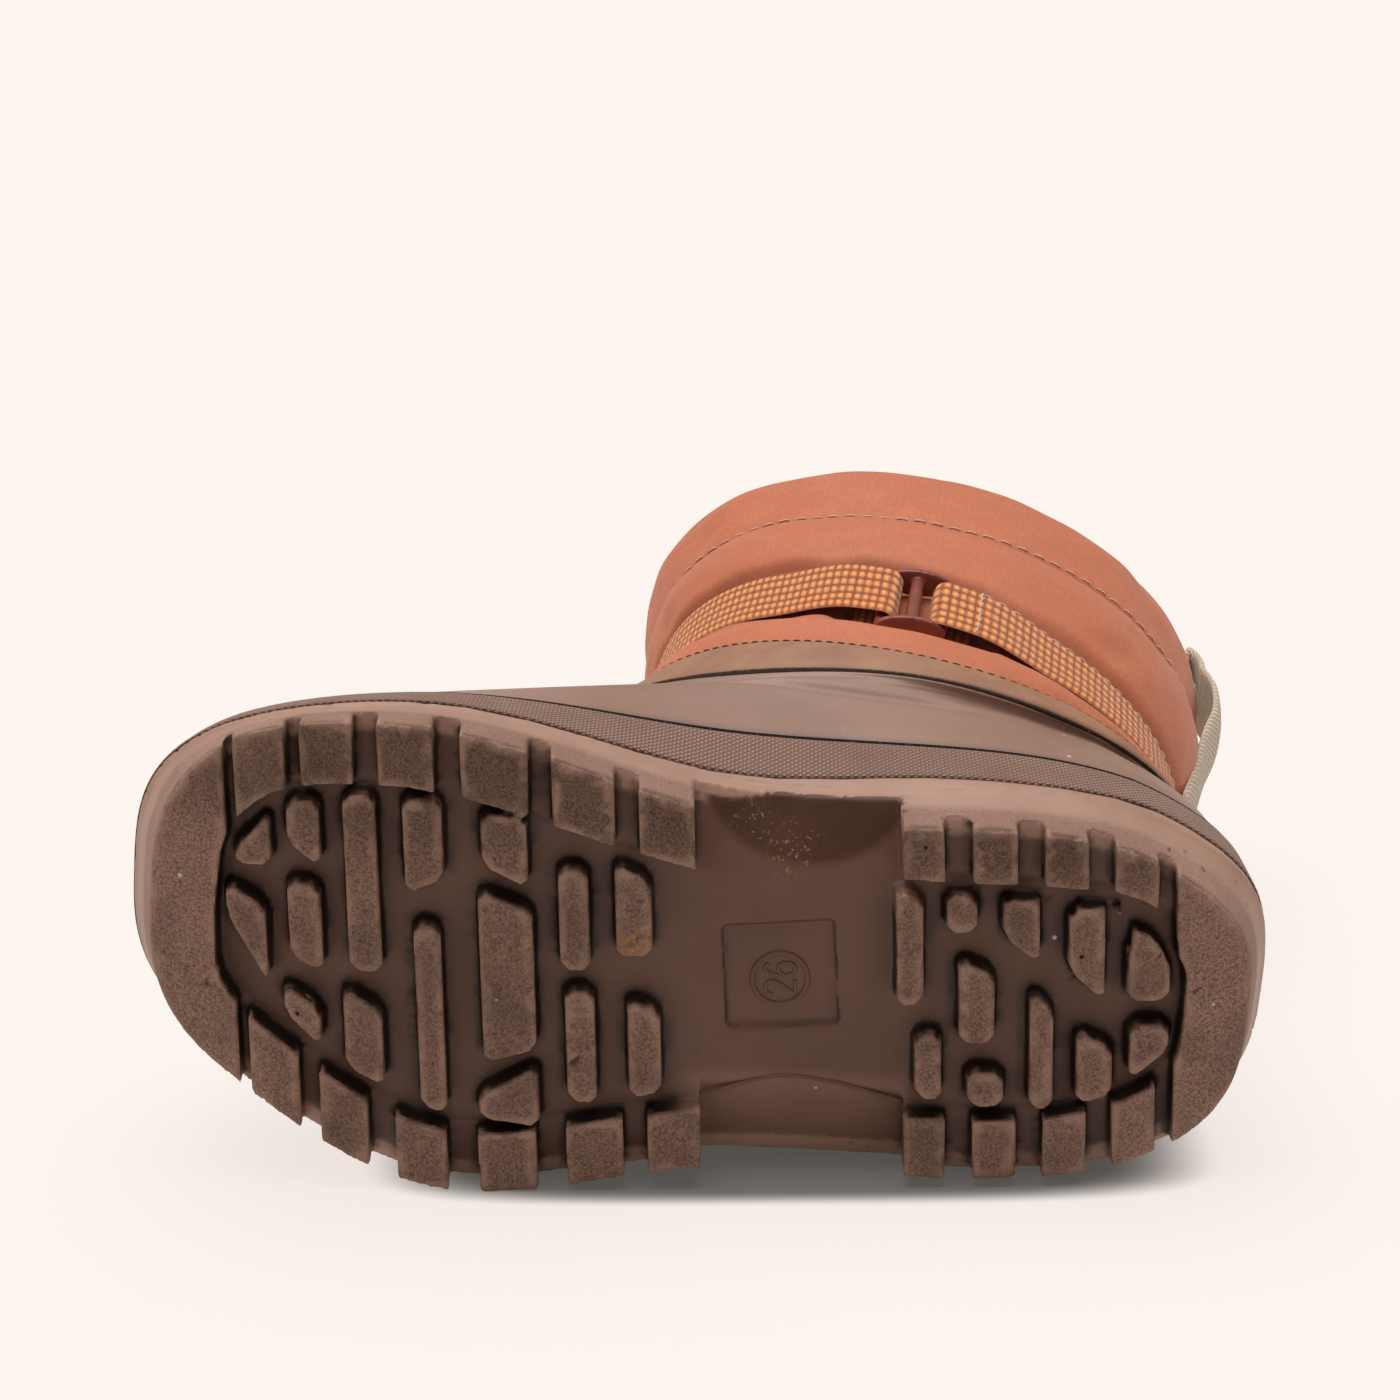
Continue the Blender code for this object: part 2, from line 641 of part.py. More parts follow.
def build_pull_loop(look: bpy.types.Material) -> bpy.types.Object:
    """Webbing loop up the back of the shaft, open behind and folded over at the top."""
    back = np.array([section(level, np.array([0.0]))[0] for level in np.arange(10.0, 17.01, 0.25)])
    path = np.array([(point.height, point.out) for point in PULL_PATH])
    run = np.concatenate(([0.0], np.cumsum(np.linalg.norm(np.diff(path, axis=0), axis=1))))
    fine = np.linspace(0, run[-1], 28)
    height = hermite(run, path[:, 0], fine)
    out = hermite(run, path[:, 1], fine) + GAP + WEB_THICKNESS / 2 + 0.2
    line = np.column_stack((np.interp(height, back[:, 2], back[:, 0]) - out, height))
    ahead = np.gradient(line, axis=0)
    ahead /= np.linalg.norm(ahead, axis=1, keepdims=True)
    side = np.column_stack((-ahead[:, 1], ahead[:, 0])) * WEB_THICKNESS / 2
    across = np.linspace(-PULL_WIDTH / 2, PULL_WIDTH / 2, 5)
    rings = []
    for i in range(len(line)):
        ring = []
        for track, order in ((line[i] + side[i], across), (line[i] - side[i], across[::-1])):
            ring.extend((track[0] + y * y / (2 * PULL_BOW), LEG_BACK_Y + y, track[1]) for y in order)
        rings.append(np.array(ring))
    return add_object("pull_loop", mesh_from(loft(rings), "pull_loop"), look)


def lay_down(pieces: list) -> None:
    """Hang the pieces on an empty, lay the boot on its outer side and stand that on the floor."""
    holder = bpy.data.objects.new("boot", None)
    bpy.context.scene.collection.objects.link(holder)
    onto_side = Matrix(((-1, 0, 0), (0, 0, 1), (0, 1, 0))).to_4x4()
    turn = Matrix.Rotation(math.radians(LIE_TURN), 4, "Z")
    lean = Matrix.Rotation(math.radians(LIE_LEAN), 4, "X")
    pose = onto_side @ lean @ turn
    corners = np.array([tuple(pose @ piece.matrix_world @ vert.co) for piece in pieces
                        for vert in piece.data.vertices])
    low, high = corners.min(axis=0), corners.max(axis=0)
    shift = Vector((-(low[0] + high[0]) / 2, -(low[1] + high[1]) / 2, -low[2]))
    holder.matrix_world = Matrix.Translation(shift) @ pose
    for piece in pieces:
        piece.parent = holder


def main() -> None:
    """Build the boot."""
    for old in list(bpy.data.objects):
        bpy.data.objects.remove(old)
    brown = material("brown rubber", (0.115, 0.055, 0.038), 0.55)
    shell_brown = material("shell rubber", (0.13, 0.068, 0.05), 0.45)
    taupe = material("trim strip", (0.20, 0.115, 0.075), 0.6)
    rust = material("rust nylon", (0.50, 0.125, 0.06), 0.75)
    amber = material("amber webbing", (0.55, 0.21, 0.06), 0.85)
    red = material("rust plastic", (0.30, 0.06, 0.03), 0.4)
    cream = material("cream webbing", (0.62, 0.50, 0.36), 0.85)
    felt = material("footbed", (0.45, 0.36, 0.27), 0.9)

    outsole = build_outsole(brown)
    insole = build_insole(felt)
    upper = build_upper(shell_brown)
    trim = build_trim(taupe)
    shaft = build_shaft(rust)
    line = StrapLine()
    strap = build_strap(amber, line)
    buckle = build_buckle(red, line)
    pull_loop = build_pull_loop(cream)
    lay_down([outsole, insole, upper, trim, shaft, strap, buckle, pull_loop])


if __name__ == "__main__":
    main()
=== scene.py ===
"""Winter boot, right foot, lying on its outer side: the dressed model.

The boot is worked out in its own frame in millimetres: x from the heel to the toe, y towards the inner
side of the foot, z up from the tread. BootForm gives its outer surface as a function of a level, from
0 at the tread to 17 at the collar, and of a turn, from 0 at the back over the inner side to the front.
Pose lays it on the floor, in metres, where the solids lie.
"""
import logging
import math
from dataclasses import dataclass
from enum import Enum
from typing import Callable, NamedTuple, Optional, Sequence

import bmesh
import bpy
import numpy as np
from mathutils import Matrix, Vector


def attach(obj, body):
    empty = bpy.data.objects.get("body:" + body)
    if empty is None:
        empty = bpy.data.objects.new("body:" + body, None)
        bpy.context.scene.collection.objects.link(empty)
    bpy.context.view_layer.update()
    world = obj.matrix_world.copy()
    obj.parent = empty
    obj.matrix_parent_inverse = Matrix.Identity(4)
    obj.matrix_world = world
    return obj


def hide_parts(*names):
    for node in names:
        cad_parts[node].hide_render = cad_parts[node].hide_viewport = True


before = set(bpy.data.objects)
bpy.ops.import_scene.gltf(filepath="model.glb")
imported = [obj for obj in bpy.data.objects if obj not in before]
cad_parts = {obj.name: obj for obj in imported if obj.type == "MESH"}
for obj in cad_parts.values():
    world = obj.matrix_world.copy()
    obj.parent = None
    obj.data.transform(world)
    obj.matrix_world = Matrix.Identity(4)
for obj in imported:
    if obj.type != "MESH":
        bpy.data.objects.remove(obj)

LOG = logging.getLogger("boot")
MM = 0.001
TAU = 2 * math.pi
Array = np.ndarray
Colour = tuple[float, float, float]
Mesh, Material, Piece = bpy.types.Mesh, bpy.types.Material, bpy.types.Object
Node, Socket = bpy.types.Node, bpy.types.NodeSocket

DOWN = np.array((0.0, 0.0, -1.0))
FRAME_PX = 1400
SENSOR_MM = 36.0
WIDTH_STATIONS = (0.12, 0.48, 0.76, 0.92)
# zones of the tread's finish; those for walls, the arch's hollow, upper lugs and crevices hold painted
# shade, pale holds painted light
ZONES = ("sand", "wall", "side", "scoop", "shade", "pale", "worn", "crevice_shade")
# from the waist along the ends of the heel's lugs to the back, then along the islands to the waist again
HEEL_GAP = (
    (62.8, 21.7), (52.9, 21.8), (41.0, 22.0), (29.4, 22.0), (25.4, 21.6), (21.7, 20.4), (18.0, 18.4),
    (16.5, 17.1), (15.0, 11.7), (15.0, 5.6), (16.5, 9.2), (18.3, 12.2), (20.2, 14.2), (23.0, 15.1),
    (23.2, 10.7), (25.4, 13.8), (25.4, 18.3), (32.9, 18.3), (33.0, 16.8), (37.0, 16.8), (37.1, 19.0),
    (43.9, 19.0), (44.1, 18.6), (47.2, 18.6), (47.5, 19.3), (53.4, 19.3), (62.8, 19.3),
)


class Foot(NamedTuple):
    """One section round the foot: its two end points and its half widths on each side."""
    back_x: float
    back_y: float
    back_z: float
    front_x: float
    front_y: float
    front_z: float
    med_heel: float
    med_waist: float
    med_ball: float
    med_toe: float
    lat_heel: float
    lat_waist: float
    lat_ball: float
    lat_toe: float
    roundness: float
    dip: float


class Leg(NamedTuple):
    """One section round the leg: its two end points, a half width on each side and roundness."""
    back_x: float
    back_z: float
    front_x: float
    front_z: float
    medial: float
    lateral: float
    roundness: float
    dip: float

    def as_foot(self) -> Foot:
        """Give the leg section the columns of a foot section."""
        ends = (self.back_x, -3.5, self.back_z, self.front_x, 4.0, self.front_z)
        return Foot(*ends, *(self.medial,) * 4, *(self.lateral,) * 4, self.roundness, self.dip)


FOOT_SECTIONS = (
    Foot(2, 0, 0, 187.5, 5.5, 0, 37.3, 28.5, 43, 49.5, 39.8, 36.5, 48.5, 43.5, 0.65, 0),
    Foot(0, 0, 7, 189.5, 5.5, 7, 38.3, 29.5, 43, 47, 40.4, 37, 48.5, 43, 0.65, 0),
    Foot(-2, 0, 13, 191.5, 5, 13, 39.8, 30, 42, 44, 41.4, 38, 47.5, 42.5, 0.65, 0),
    Foot(-1.5, 0, 31, 190, 5, 27, 38.8, 32.5, 38.5, 39.5, 40.2, 38, 44.5, 40.5, 0.65, 0),
    Foot(0.5, 0, 38, 186, 5, 36, 38, 33, 35, 34.5, 39, 38, 42, 37, 0.63, 0),
    Foot(2, -0.5, 46, 178, 5.5, 46, 38, 34.5, 32, 32, 38.5, 37.5, 39.5, 35, 0.64, 0),
    Foot(3, -1.5, 51, 161, 5.5, 56, 37.5, 35.5, 30, 29, 37.5, 37, 36.5, 32, 0.68, 4),
    Foot(3.5, -2, 54, 140, 5, 66, 37.5, 36.5, 30.5, 29, 37, 36.5, 35.5, 31, 0.76, 9),
    Foot(4, -2.5, 56, 122, 4.5, 76, 38, 37.5, 34, 32, 36.5, 36, 35.5, 32.5, 0.84, 14),
    Foot(4.5, -3, 59, 114, 4, 83, 38.5, 38, 37, 35.5, 36.5, 36, 35.5, 34.5, 0.88, 14.5),
)
LEG_SECTIONS = (
    Leg(5, 62, 109, 90, 38.5, 35.5, 0.90, 15),
    Leg(5.5, 64, 106.5, 97, 39.3, 35.5, 0.92, 13.5),
    Leg(5.5, 66, 104, 105, 39.3, 35.5, 0.93, 12),
    Leg(4.5, 83, 102.5, 124, 39.5, 36.5, 0.94, 6),
    Leg(0, 103, 102.5, 138, 41.3, 39, 0.95, 5),
    Leg(-3.5, 125, 102.5, 151, 40.3, 39.5, 0.95, 7),
    Leg(-4.5, 143, 103, 163, 41.5, 42, 0.95, 4),
    Leg(-3, 154, 102, 170, 39.5, 40, 0.95, 3),
)


class Level(float, Enum):
    """Levels of the boot's surface that pieces start and end at."""
    LINE = 2.0
    BAND_TOP = 3.0
    LOW = 4.0
    JOINT = 9.0
    STRAP_LOW = 12.0
    STRAP_HIGH = 13.0
    SEAM = 14.86
    TOP = 17.0


class Slot(str, Enum):
    """Material slots of the record."""
    OUTSOLE = "outsole"
    INSOLE = "insole"
    UPPER = "upper"
    TRIM = "trim"
    SHAFT = "shaft"
    STRAP = "strap"
    BUCKLE = "buckle"
    PULL_LOOP = "pull_loop"


def hermite(knots: Sequence[float], values: Array, at: Array) -> Array:
    """Smooth curve through values at knots, level outside the first and last knot.

    Between two knots w apart, with f from 0 to 1 and slopes s from neighbouring knots:
    v0 (1 + 2f)(1 - f)^2 + s0 w f (1 - f)^2 + v1 f^2 (3 - 2f) + s1 w f^2 (f - 1).

    Args:
        knots: Rising places of the values.
        values: One value per knot, or one array like `at` per knot.
        at: Places to read.

    Returns:
        Array like `at`.
    """
    knots = np.asarray(knots, dtype=float)
    values = np.asarray(values, dtype=float)
    at = np.clip(np.asarray(at, dtype=float), knots[0], knots[-1])
    slopes = np.gradient(values, knots, axis=0)
    left = np.clip(np.searchsorted(knots, at) - 1, 0, len(knots) - 2)
    width = knots[left + 1] - knots[left]
    f = (at - knots[left]) / width

    def pick(table: Array, index: Array) -> Array:
        """Value of a table at each index."""
        if table.ndim == 1:
            return table[index]
        return np.take_along_axis(table, index[None], axis=0)[0]

    start = pick(values, left) * (1 + 2 * f) * (1 - f) ** 2 + pick(slopes, left) * width * f * (1 - f) ** 2
    end = pick(values, left + 1) * f ** 2 * (3 - 2 * f) + pick(slopes, left + 1) * width * f ** 2 * (f - 1)
    return start + end


def curve(knots: Sequence[Sequence[float]], count: int) -> tuple[Array, Array]:
    """Both coordinates of a smooth curve through flat points, read at an even count of places.

    Args:
        knots: The points, each of two numbers.
        count: Number of places.

    Returns:
        First and second coordinate, one array each.
    """
    spots = np.array(knots, dtype=float)
    numbers = np.arange(len(spots), dtype=float)
    at = np.linspace(0, len(spots) - 1, count)
    return hermite(numbers, spots[:, 0], at), hermite(numbers, spots[:, 1], at)


def unit(vectors: Array) -> Array:
    """Vectors along the last axis, scaled to length one."""
    return vectors / np.maximum(np.linalg.norm(vectors, axis=-1, keepdims=True), 1e-12)


def bell(distance: Array, width: float) -> Array:
    """Soft bump: exp(-(distance / width)^2)."""
    return np.exp(-(np.asarray(distance) / width) ** 2)


def smooth(low: float, high: float, value: Array) -> Array:
    """Ease from 0 at low to 1 at high: f^2 (3 - 2f)."""
    f = np.clip((np.asarray(value) - low) / (high - low), 0, 1)
    return f * f * (3 - 2 * f)


def window(rise: tuple[float, float], fall: tuple[float, float], value: Array) -> Array:
    """Ease up over one range and down over another that lies higher."""
    return smooth(*rise, value) * smooth(fall[1], fall[0], value)


def turns(count: int) -> Array:
    """Even turns round a section, from the back, without the closing one."""
    return np.arange(count) * (TAU / count)


class BootForm:
    """The boot's outer surface over level and turn."""

    def __init__(self) -> None:
        """Take the section tables."""
        self.rows = np.array([*FOOT_SECTIONS, *(leg.as_foot() for leg in LEG_SECTIONS)], dtype=float)
        self.numbers = np.arange(len(self.rows), dtype=float)

    @staticmethod
    def lift(x: Array) -> Array:
        """Toe spring and heel bevel: 9 ((x - 128) / 60)^2 past 128, 2.5 ((15 - x) / 15)^2 before 15."""
        toe = np.clip((x - 128.0) / 60.0, 0, None)
        heel = np.clip((15.0 - x) / 15.0, 0, None)
        return 9.0 * toe ** 2 + 2.5 * heel ** 2

    def point(self, level: Array, turn: Array) -> Array:
        """Points of the surface.

        With t = (1 - cos turn) / 2, x and the middle of y and z run from the back to the front point by t,
        y adds the half width at t times |sin turn|^roundness, and z takes off dip sin^2 turn.

        Args:
            level: Levels, any shape.
            turn: Turns that broadcast with the levels.

        Returns:
            Points in millimetres, one more axis of three.
        """
        level, turn = np.broadcast_arrays(np.asarray(level, dtype=float), np.asarray(turn, dtype=float))
        row = Foot(*(hermite(self.numbers, column, level) for column in self.rows.T))
        along = (1 - np.cos(turn)) / 2
        across = np.sign(np.sin(turn)) * np.abs(np.sin(turn)) ** row.roundness
        medial = hermite(WIDTH_STATIONS, np.stack(row[6:10]), along)
        lateral = hermite(WIDTH_STATIONS, np.stack(row[10:14]), along)
        x = row.back_x + (row.front_x - row.back_x) * along
        y = row.back_y + (row.front_y - row.back_y) * along + np.where(across > 0, medial, lateral) * across
        z = row.back_z + (row.front_z - row.back_z) * along - row.dip * np.sin(turn) ** 2
        return np.stack((x, y, z + self.lift(x)), axis=-1)

    def normal(self, level: Array, turn: Array) -> Array:
        """Unit normals out of the boot: step up the leg crossed with step round it.

        Args:
            level: Levels, any shape.
            turn: Turns that broadcast with the levels.

        Returns:
            Unit vectors.
        """
        step = 0.02
        level = np.asarray(level, dtype=float)
        around = self.point(level, turn + step) - self.point(level, turn - step)
        top = np.minimum(level + step, self.numbers[-1])
        upward = self.point(top, turn) - self.point(np.maximum(level - step, 0), turn)
        return unit(np.cross(upward, around))

    def shell(self, level: Array, turn: Array, out: Array) -> Array:
        """The surface moved out along its normals by a distance."""
        return self.point(level, turn) + np.asarray(out)[..., None] * self.normal(level, turn)


def inset(ring: Array, inward: float) -> Array:
    """A level ring moved inward by a distance in its own plane."""
    ahead = np.roll(ring, -1, axis=0) - np.roll(ring, 1, axis=0)
    side = unit(np.stack((ahead[:, 1], -ahead[:, 0], np.zeros(len(ring))), axis=1))
    return ring + inward * side


@dataclass(frozen=True)
class Pose:
    """How the boot lies: turned about its leg, leaned about its length, then put on the floor."""
    turn_deg: float = 4.307
    lean_deg: float = -2.976
    shift: tuple[float, float, float] = (0.088617, -0.083858, 0.030984)

    def spin(self) -> Array:
        """Rotation of the boot onto its side, three by three."""
        onto_side = Matrix(((-1, 0, 0), (0, 0, 1), (0, 1, 0)))
        lean = Matrix.Rotation(math.radians(self.lean_deg), 3, "X")
        turn = Matrix.Rotation(math.radians(self.turn_deg), 3, "Z")
        return np.array(onto_side @ lean @ turn)

    def world(self, points: Array) -> Array:
        """Boot millimetres to metres in the shared frame."""
        return points * MM @ self.spin().T + np.array(self.shift)

    def boot(self, points: Array) -> Array:
        """Metres in the shared frame to boot millimetres."""
        return (points - np.array(self.shift)) @ self.spin() / MM


FORM = BootForm()
POSE = Pose()


@dataclass(frozen=True)
class Fold:
    """A crease pressed into a surface: a path in level and turn, its depth and its half width in mm."""
    path: tuple[tuple[float, float], ...]
    depth: float
    width: float

    def press(self, points: Array) -> Array:
        """Distance out at each point: depth times a bell of the distance to the path, eased at its ends.

        Args:
            points: Points of the surface, in boot millimetres.

        Returns:
            Distances, one per point.
        """
        line = FORM.point(*curve(self.path, 220))
        flat = points.reshape(-1, 3)
        near = np.linalg.norm(flat[:, None] - line[None], axis=2)
        nearest = near.argmin(axis=1)
        end = nearest / (len(line) - 1)
        fade = smooth(0, 0.22, end) * smooth(0, 0.22, 1 - end)
        return (self.depth * fade * bell(near.min(axis=1), self.width)).reshape(points.shape[:-1])


def pressed(points: Array, folds: Sequence[Fold]) -> Array:
    """Sum of several folds at each point."""
    return sum((fold.press(points) for fold in folds), np.zeros(points.shape[:-1]))


class Ripple:
    """Gentle unevenness of soft goods: a few seeded waves over turn and level."""

    def __init__(self, seed: int, count: int = 9) -> None:
        """Choose the waves.

        Args:
            seed: Start of the random numbers, so that each run is the same.
            count: Number of waves.
        """
        draw = np.random.default_rng(seed)
        self.around = draw.integers(2, 15, count)
        self.up = draw.uniform(-6, 6, count)
        self.phase = draw.uniform(0, TAU, count)
        self.size = draw.uniform(0.5, 1.0, count) / count

    def at(self, level: Array, turn: Array) -> Array:
        """Sum of size times sin(around turn + up level + phase)."""
        waves = zip(self.around, self.up, self.phase, self.size)
        return sum(s * np.sin(a * turn + u * level + p) for a, u, p, s in waves)


def grid_faces(rows: int, cols: int, wrap_rows: bool, wrap_cols: bool) -> tuple[Array, Array]:
    """Faces of a grid of points.

    Args:
        rows: Number of rows of points.
        cols: Number of points in a row.
        wrap_rows: Whether the last row joins the first.
        wrap_cols: Whether the last column joins the first.

    Returns:
        Point numbers of each face, and the grid place (row, column) of each corner, not wrapped.
    """
    i, j = np.meshgrid(np.arange(rows if wrap_rows else rows - 1),
                       np.arange(cols if wrap_cols else cols - 1), indexing="ij")
    corner_rows = np.stack((i, i, i + 1, i + 1), axis=-1).reshape(-1, 4)
    corner_cols = np.stack((j, j + 1, j + 1, j), axis=-1).reshape(-1, 4)
    faces = corner_rows % rows * cols + corner_cols % cols
    return faces, np.stack((corner_rows, corner_cols), axis=-1)


def signed_volume(points: Array, faces: Sequence[Sequence[int]]) -> float:
    """Volume in a closed mesh, below zero where its faces point in.

    Args:
        points: Points of the mesh.
        faces: Point numbers of each face.

    Returns:
        The volume.
    """
    total = 0.0
    for size in {len(face) for face in faces}:
        block = points[np.array([face for face in faces if len(face) == size])]
        for k in range(1, size - 1):
            total += float(np.einsum("ij,ij->", block[:, 0], np.cross(block[:, k], block[:, k + 1]))) / 6
    return total


def closed_mesh(name: str, points: Array, faces: list[list[int]], spots: Array) -> Mesh:
    """Closed mesh in the shared frame, faces out, with a map in millimetres.

    Args:
        name: Name of the mesh.
        points: Points in boot millimetres.
        faces: Point numbers of each face.
        spots: Place of each corner of each face on the map.

    Returns:
        The mesh.
    """
    flat = POSE.world(points.reshape(-1, 3))
    made = bpy.data.meshes.new(name)
    made.from_pydata(flat, [], faces)
    layer = made.uv_layers.new(name="map_mm")
    layer.data.foreach_set("uv", np.ascontiguousarray(spots, dtype=np.float32).ravel())
    if signed_volume(flat, faces) < 0:
        made.flip_normals()
    made.shade_smooth()
    return made


@dataclass
class Surface:
    """A surface on a grid of points in boot millimetres, on its way to a mesh.

    Attributes:
        points: Rows by columns by three.
        wrap_rows: Whether the last row joins the first.
        wrap_cols: Whether the last column joins the first.
        across_mm: Length of each row step for the surface map, one more than the rows where they wrap.
        along_mm: The same for columns.
        caps: Whether the first and last row are closed with a face.
    """
    points: Array
    wrap_rows: bool
    wrap_cols: bool
    across_mm: Array
    along_mm: Array
    caps: bool = False

    def mesh(self, name: str) -> Mesh:
        """Make the mesh, with its running lengths as its map.

        Args:
            name: Name of the mesh.

        Returns:
            The mesh.
        """
        rows, cols = self.points.shape[:2]
        faces, corners = grid_faces(rows, cols, self.wrap_rows, self.wrap_cols)
        spots = np.stack((self.along_mm[corners[..., 1]], self.across_mm[corners[..., 0]]), axis=-1)
        lists = faces.tolist()
        spots = spots.reshape(-1, 2)
        if self.caps:
            lists += [list(range(cols))[::-1], list(range((rows - 1) * cols, rows * cols))]
            spots = np.concatenate((spots, np.zeros((2 * cols, 2))))
        return closed_mesh(name, self.points, lists, spots)


def arc_mm(points: Array, axis: int, close: bool) -> Array:
    """Running length in millimetres along one axis of a grid, averaged over the other."""
    ring = np.concatenate((points, np.take(points, [0], axis=axis)), axis=axis) if close else points
    steps = np.linalg.norm(np.diff(ring, axis=axis), axis=-1).mean(axis=1 - axis)
    return np.concatenate(([0.0], np.cumsum(steps)))


def loop_surface(points: Array) -> Surface:
    """A ring-shaped surface: rows go round its profile, columns round the boot."""
    return Surface(points, True, True, arc_mm(points, 0, True), arc_mm(points, 1, True))


def sweep_surface(points: Array) -> Surface:
    """A strip or bead: rows go along it with end caps, columns round its section."""
    return Surface(points, False, True, arc_mm(points, 0, False), arc_mm(points, 1, True), caps=True)


def give_values(mesh: Mesh, name: str, values: Array) -> None:
    """Keep a number per point on a mesh, for its finish to read."""
    layer = mesh.attributes.new(name, "FLOAT", "POINT")
    layer.data.foreach_set("value", np.ascontiguousarray(values, dtype=np.float32).ravel())


def linked(name: str, data: bpy.types.ID) -> Piece:
    """New object in the scene.

    Args:
        name: Name of the object.
        data: Its mesh, camera or light.

    Returns:
        The object.
    """
    made = bpy.data.objects.new(name, data)
    bpy.context.scene.collection.objects.link(made)
    return made


def add_piece(name: str, mesh: Mesh, slot: Slot, *finishes: Material,
              replaces: Optional[str] = None) -> Piece:
    """Link a piece that rides with the boot.

    Args:
        name: Name of the piece.
        mesh: Its mesh, in the shared frame.
        slot: Slot of the record that it belongs to; not used.
        *finishes: Its materials, in order.
        replaces: Node that it stands for, if any.

    Returns:
        The piece.
    """
    piece = linked(name, mesh)
    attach(piece, "root")
    if replaces:
        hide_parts(replaces)
    for finish in finishes:
        mesh.materials.append(finish)
    LOG.info("%s: %d points, %d faces", name, len(mesh.vertices), len(mesh.polygons))
    return piece


def node_copy(node: str, flat_deg: float = 1.0) -> Mesh:
    """Copy of a node's mesh with its loose triangles merged and its flat faces joined.

    Args:
        node: Node name.
        flat_deg: Largest angle between faces that are joined.

    Returns:
        The mesh.
    """
    bm = bmesh.new()
    bm.from_mesh(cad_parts[node].data)
    bmesh.ops.remove_doubles(bm, verts=bm.verts[:], dist=2e-6)
    bmesh.ops.dissolve_limit(bm, angle_limit=math.radians(flat_deg), verts=bm.verts[:], edges=bm.edges[:])
    bmesh.ops.recalc_face_normals(bm, faces=bm.faces[:])
    made = bpy.data.meshes.new(node + "_dressed")
    bm.to_mesh(made)
    bm.free()
    made.materials.clear()
    return made


def mesh_points(mesh: Mesh) -> Array:
    """Points of a mesh in boot millimetres."""
    spots = np.empty(len(mesh.vertices) * 3)
    mesh.vertices.foreach_get("co", spots)
    return POSE.boot(spots.reshape(-1, 3))


def mesh_edges(mesh: Mesh) -> Array:
    """Point numbers of a mesh's edges."""
    ends = np.empty(len(mesh.edges) * 2, dtype=np.int32)
    mesh.edges.foreach_get("vertices", ends)
    return ends.reshape(-1, 2)


def reworked(mesh: Mesh, kind: str, **settings: object) -> Mesh:
    """Mesh as one modifier makes it.

    Args:
        mesh: Mesh to start from, used up.
        kind: Type of the modifier.
        **settings: Its settings by name.

    Returns:
        The new mesh.
    """
    holder = linked("holder", mesh)
    modifier = holder.modifiers.new("rework", kind)
    for key, value in settings.items():
        setattr(modifier, key, value)
    made = bpy.data.meshes.new_from_object(holder.evaluated_get(bpy.context.evaluated_depsgraph_get()))
    made.name = mesh.name
    bpy.data.objects.remove(holder)
    return made


def cut_out(mesh: Mesh, plan: Array, low: float, high: float) -> Mesh:
    """Cut an upright prism out of a closed mesh.

    Args:
        mesh: Closed mesh, used up.
        plan: Corners of the prism in plan, in boot millimetres, anticlockwise.
        low: Height of its lower end.
        high: Height of its upper end.

    Returns:
        The new mesh.
    """
    count = len(plan)
    spot = np.concatenate([np.column_stack((plan, np.full(count, height))) for height in (low, high)])
    at = np.arange(count)
    after = (at + 1) % count
    sides = np.stack((at, after, after + count, at + count), axis=1)
    tool = bpy.data.meshes.new("prism")
    faces = [at[::-1].tolist(), (at + count).tolist(), *sides.tolist()]
    tool.from_pydata(POSE.world(spot).tolist(), [], faces)
    cutter = linked("prism", tool)
    made = reworked(mesh, "BOOLEAN", operation="DIFFERENCE", solver="EXACT", object=cutter)
    bpy.data.objects.remove(cutter)
    return made


def even_skin(mesh: Mesh, voxel_mm: float, thin: float = 0.0) -> Mesh:
    """Moulded skin over a closed mesh: even small faces, with all its edges slightly rounded.

    Args:
        mesh: Closed mesh, used up.
        voxel_mm: Size of the faces.
        thin: How much larger the faces may grow where the skin is flat.

    Returns:
        The new mesh.
    """
    made = reworked(mesh, "REMESH", mode="VOXEL", voxel_size=voxel_mm * MM, adaptivity=thin)
    made.materials.clear()
    made.shade_smooth()
    return made


def split_edges(mesh: Mesh, chosen: Array, cuts: int) -> None:
    """Cut the chosen edges of a mesh into even parts.

    Args:
        mesh: Mesh, changed in place.
        chosen: Whether each edge is cut.
        cuts: Cuts per edge.
    """
    bm = bmesh.new()
    bm.from_mesh(mesh)
    bm.edges.ensure_lookup_table()
    picked = [bm.edges[int(i)] for i in np.flatnonzero(chosen)]
    bmesh.ops.subdivide_edges(bm, edges=picked, cuts=cuts, use_grid_fill=True)
    bm.to_mesh(mesh)
    bm.free()


def beside(values: Array, ends: Array) -> Array:
    """Mean of the neighbours' values at each point of a mesh.

    Args:
        values: One row of numbers per point.
        ends: Point numbers of the edges.

    Returns:
        Array like the values.
    """
    count = np.bincount(ends.ravel(), minlength=len(values))
    total = np.stack([np.bincount(ends[:, 0], column[ends[:, 1]], len(values))
                      + np.bincount(ends[:, 1], column[ends[:, 0]], len(values))
                      for column in values.T], axis=1)
    return total / np.maximum(count, 1)[:, None]


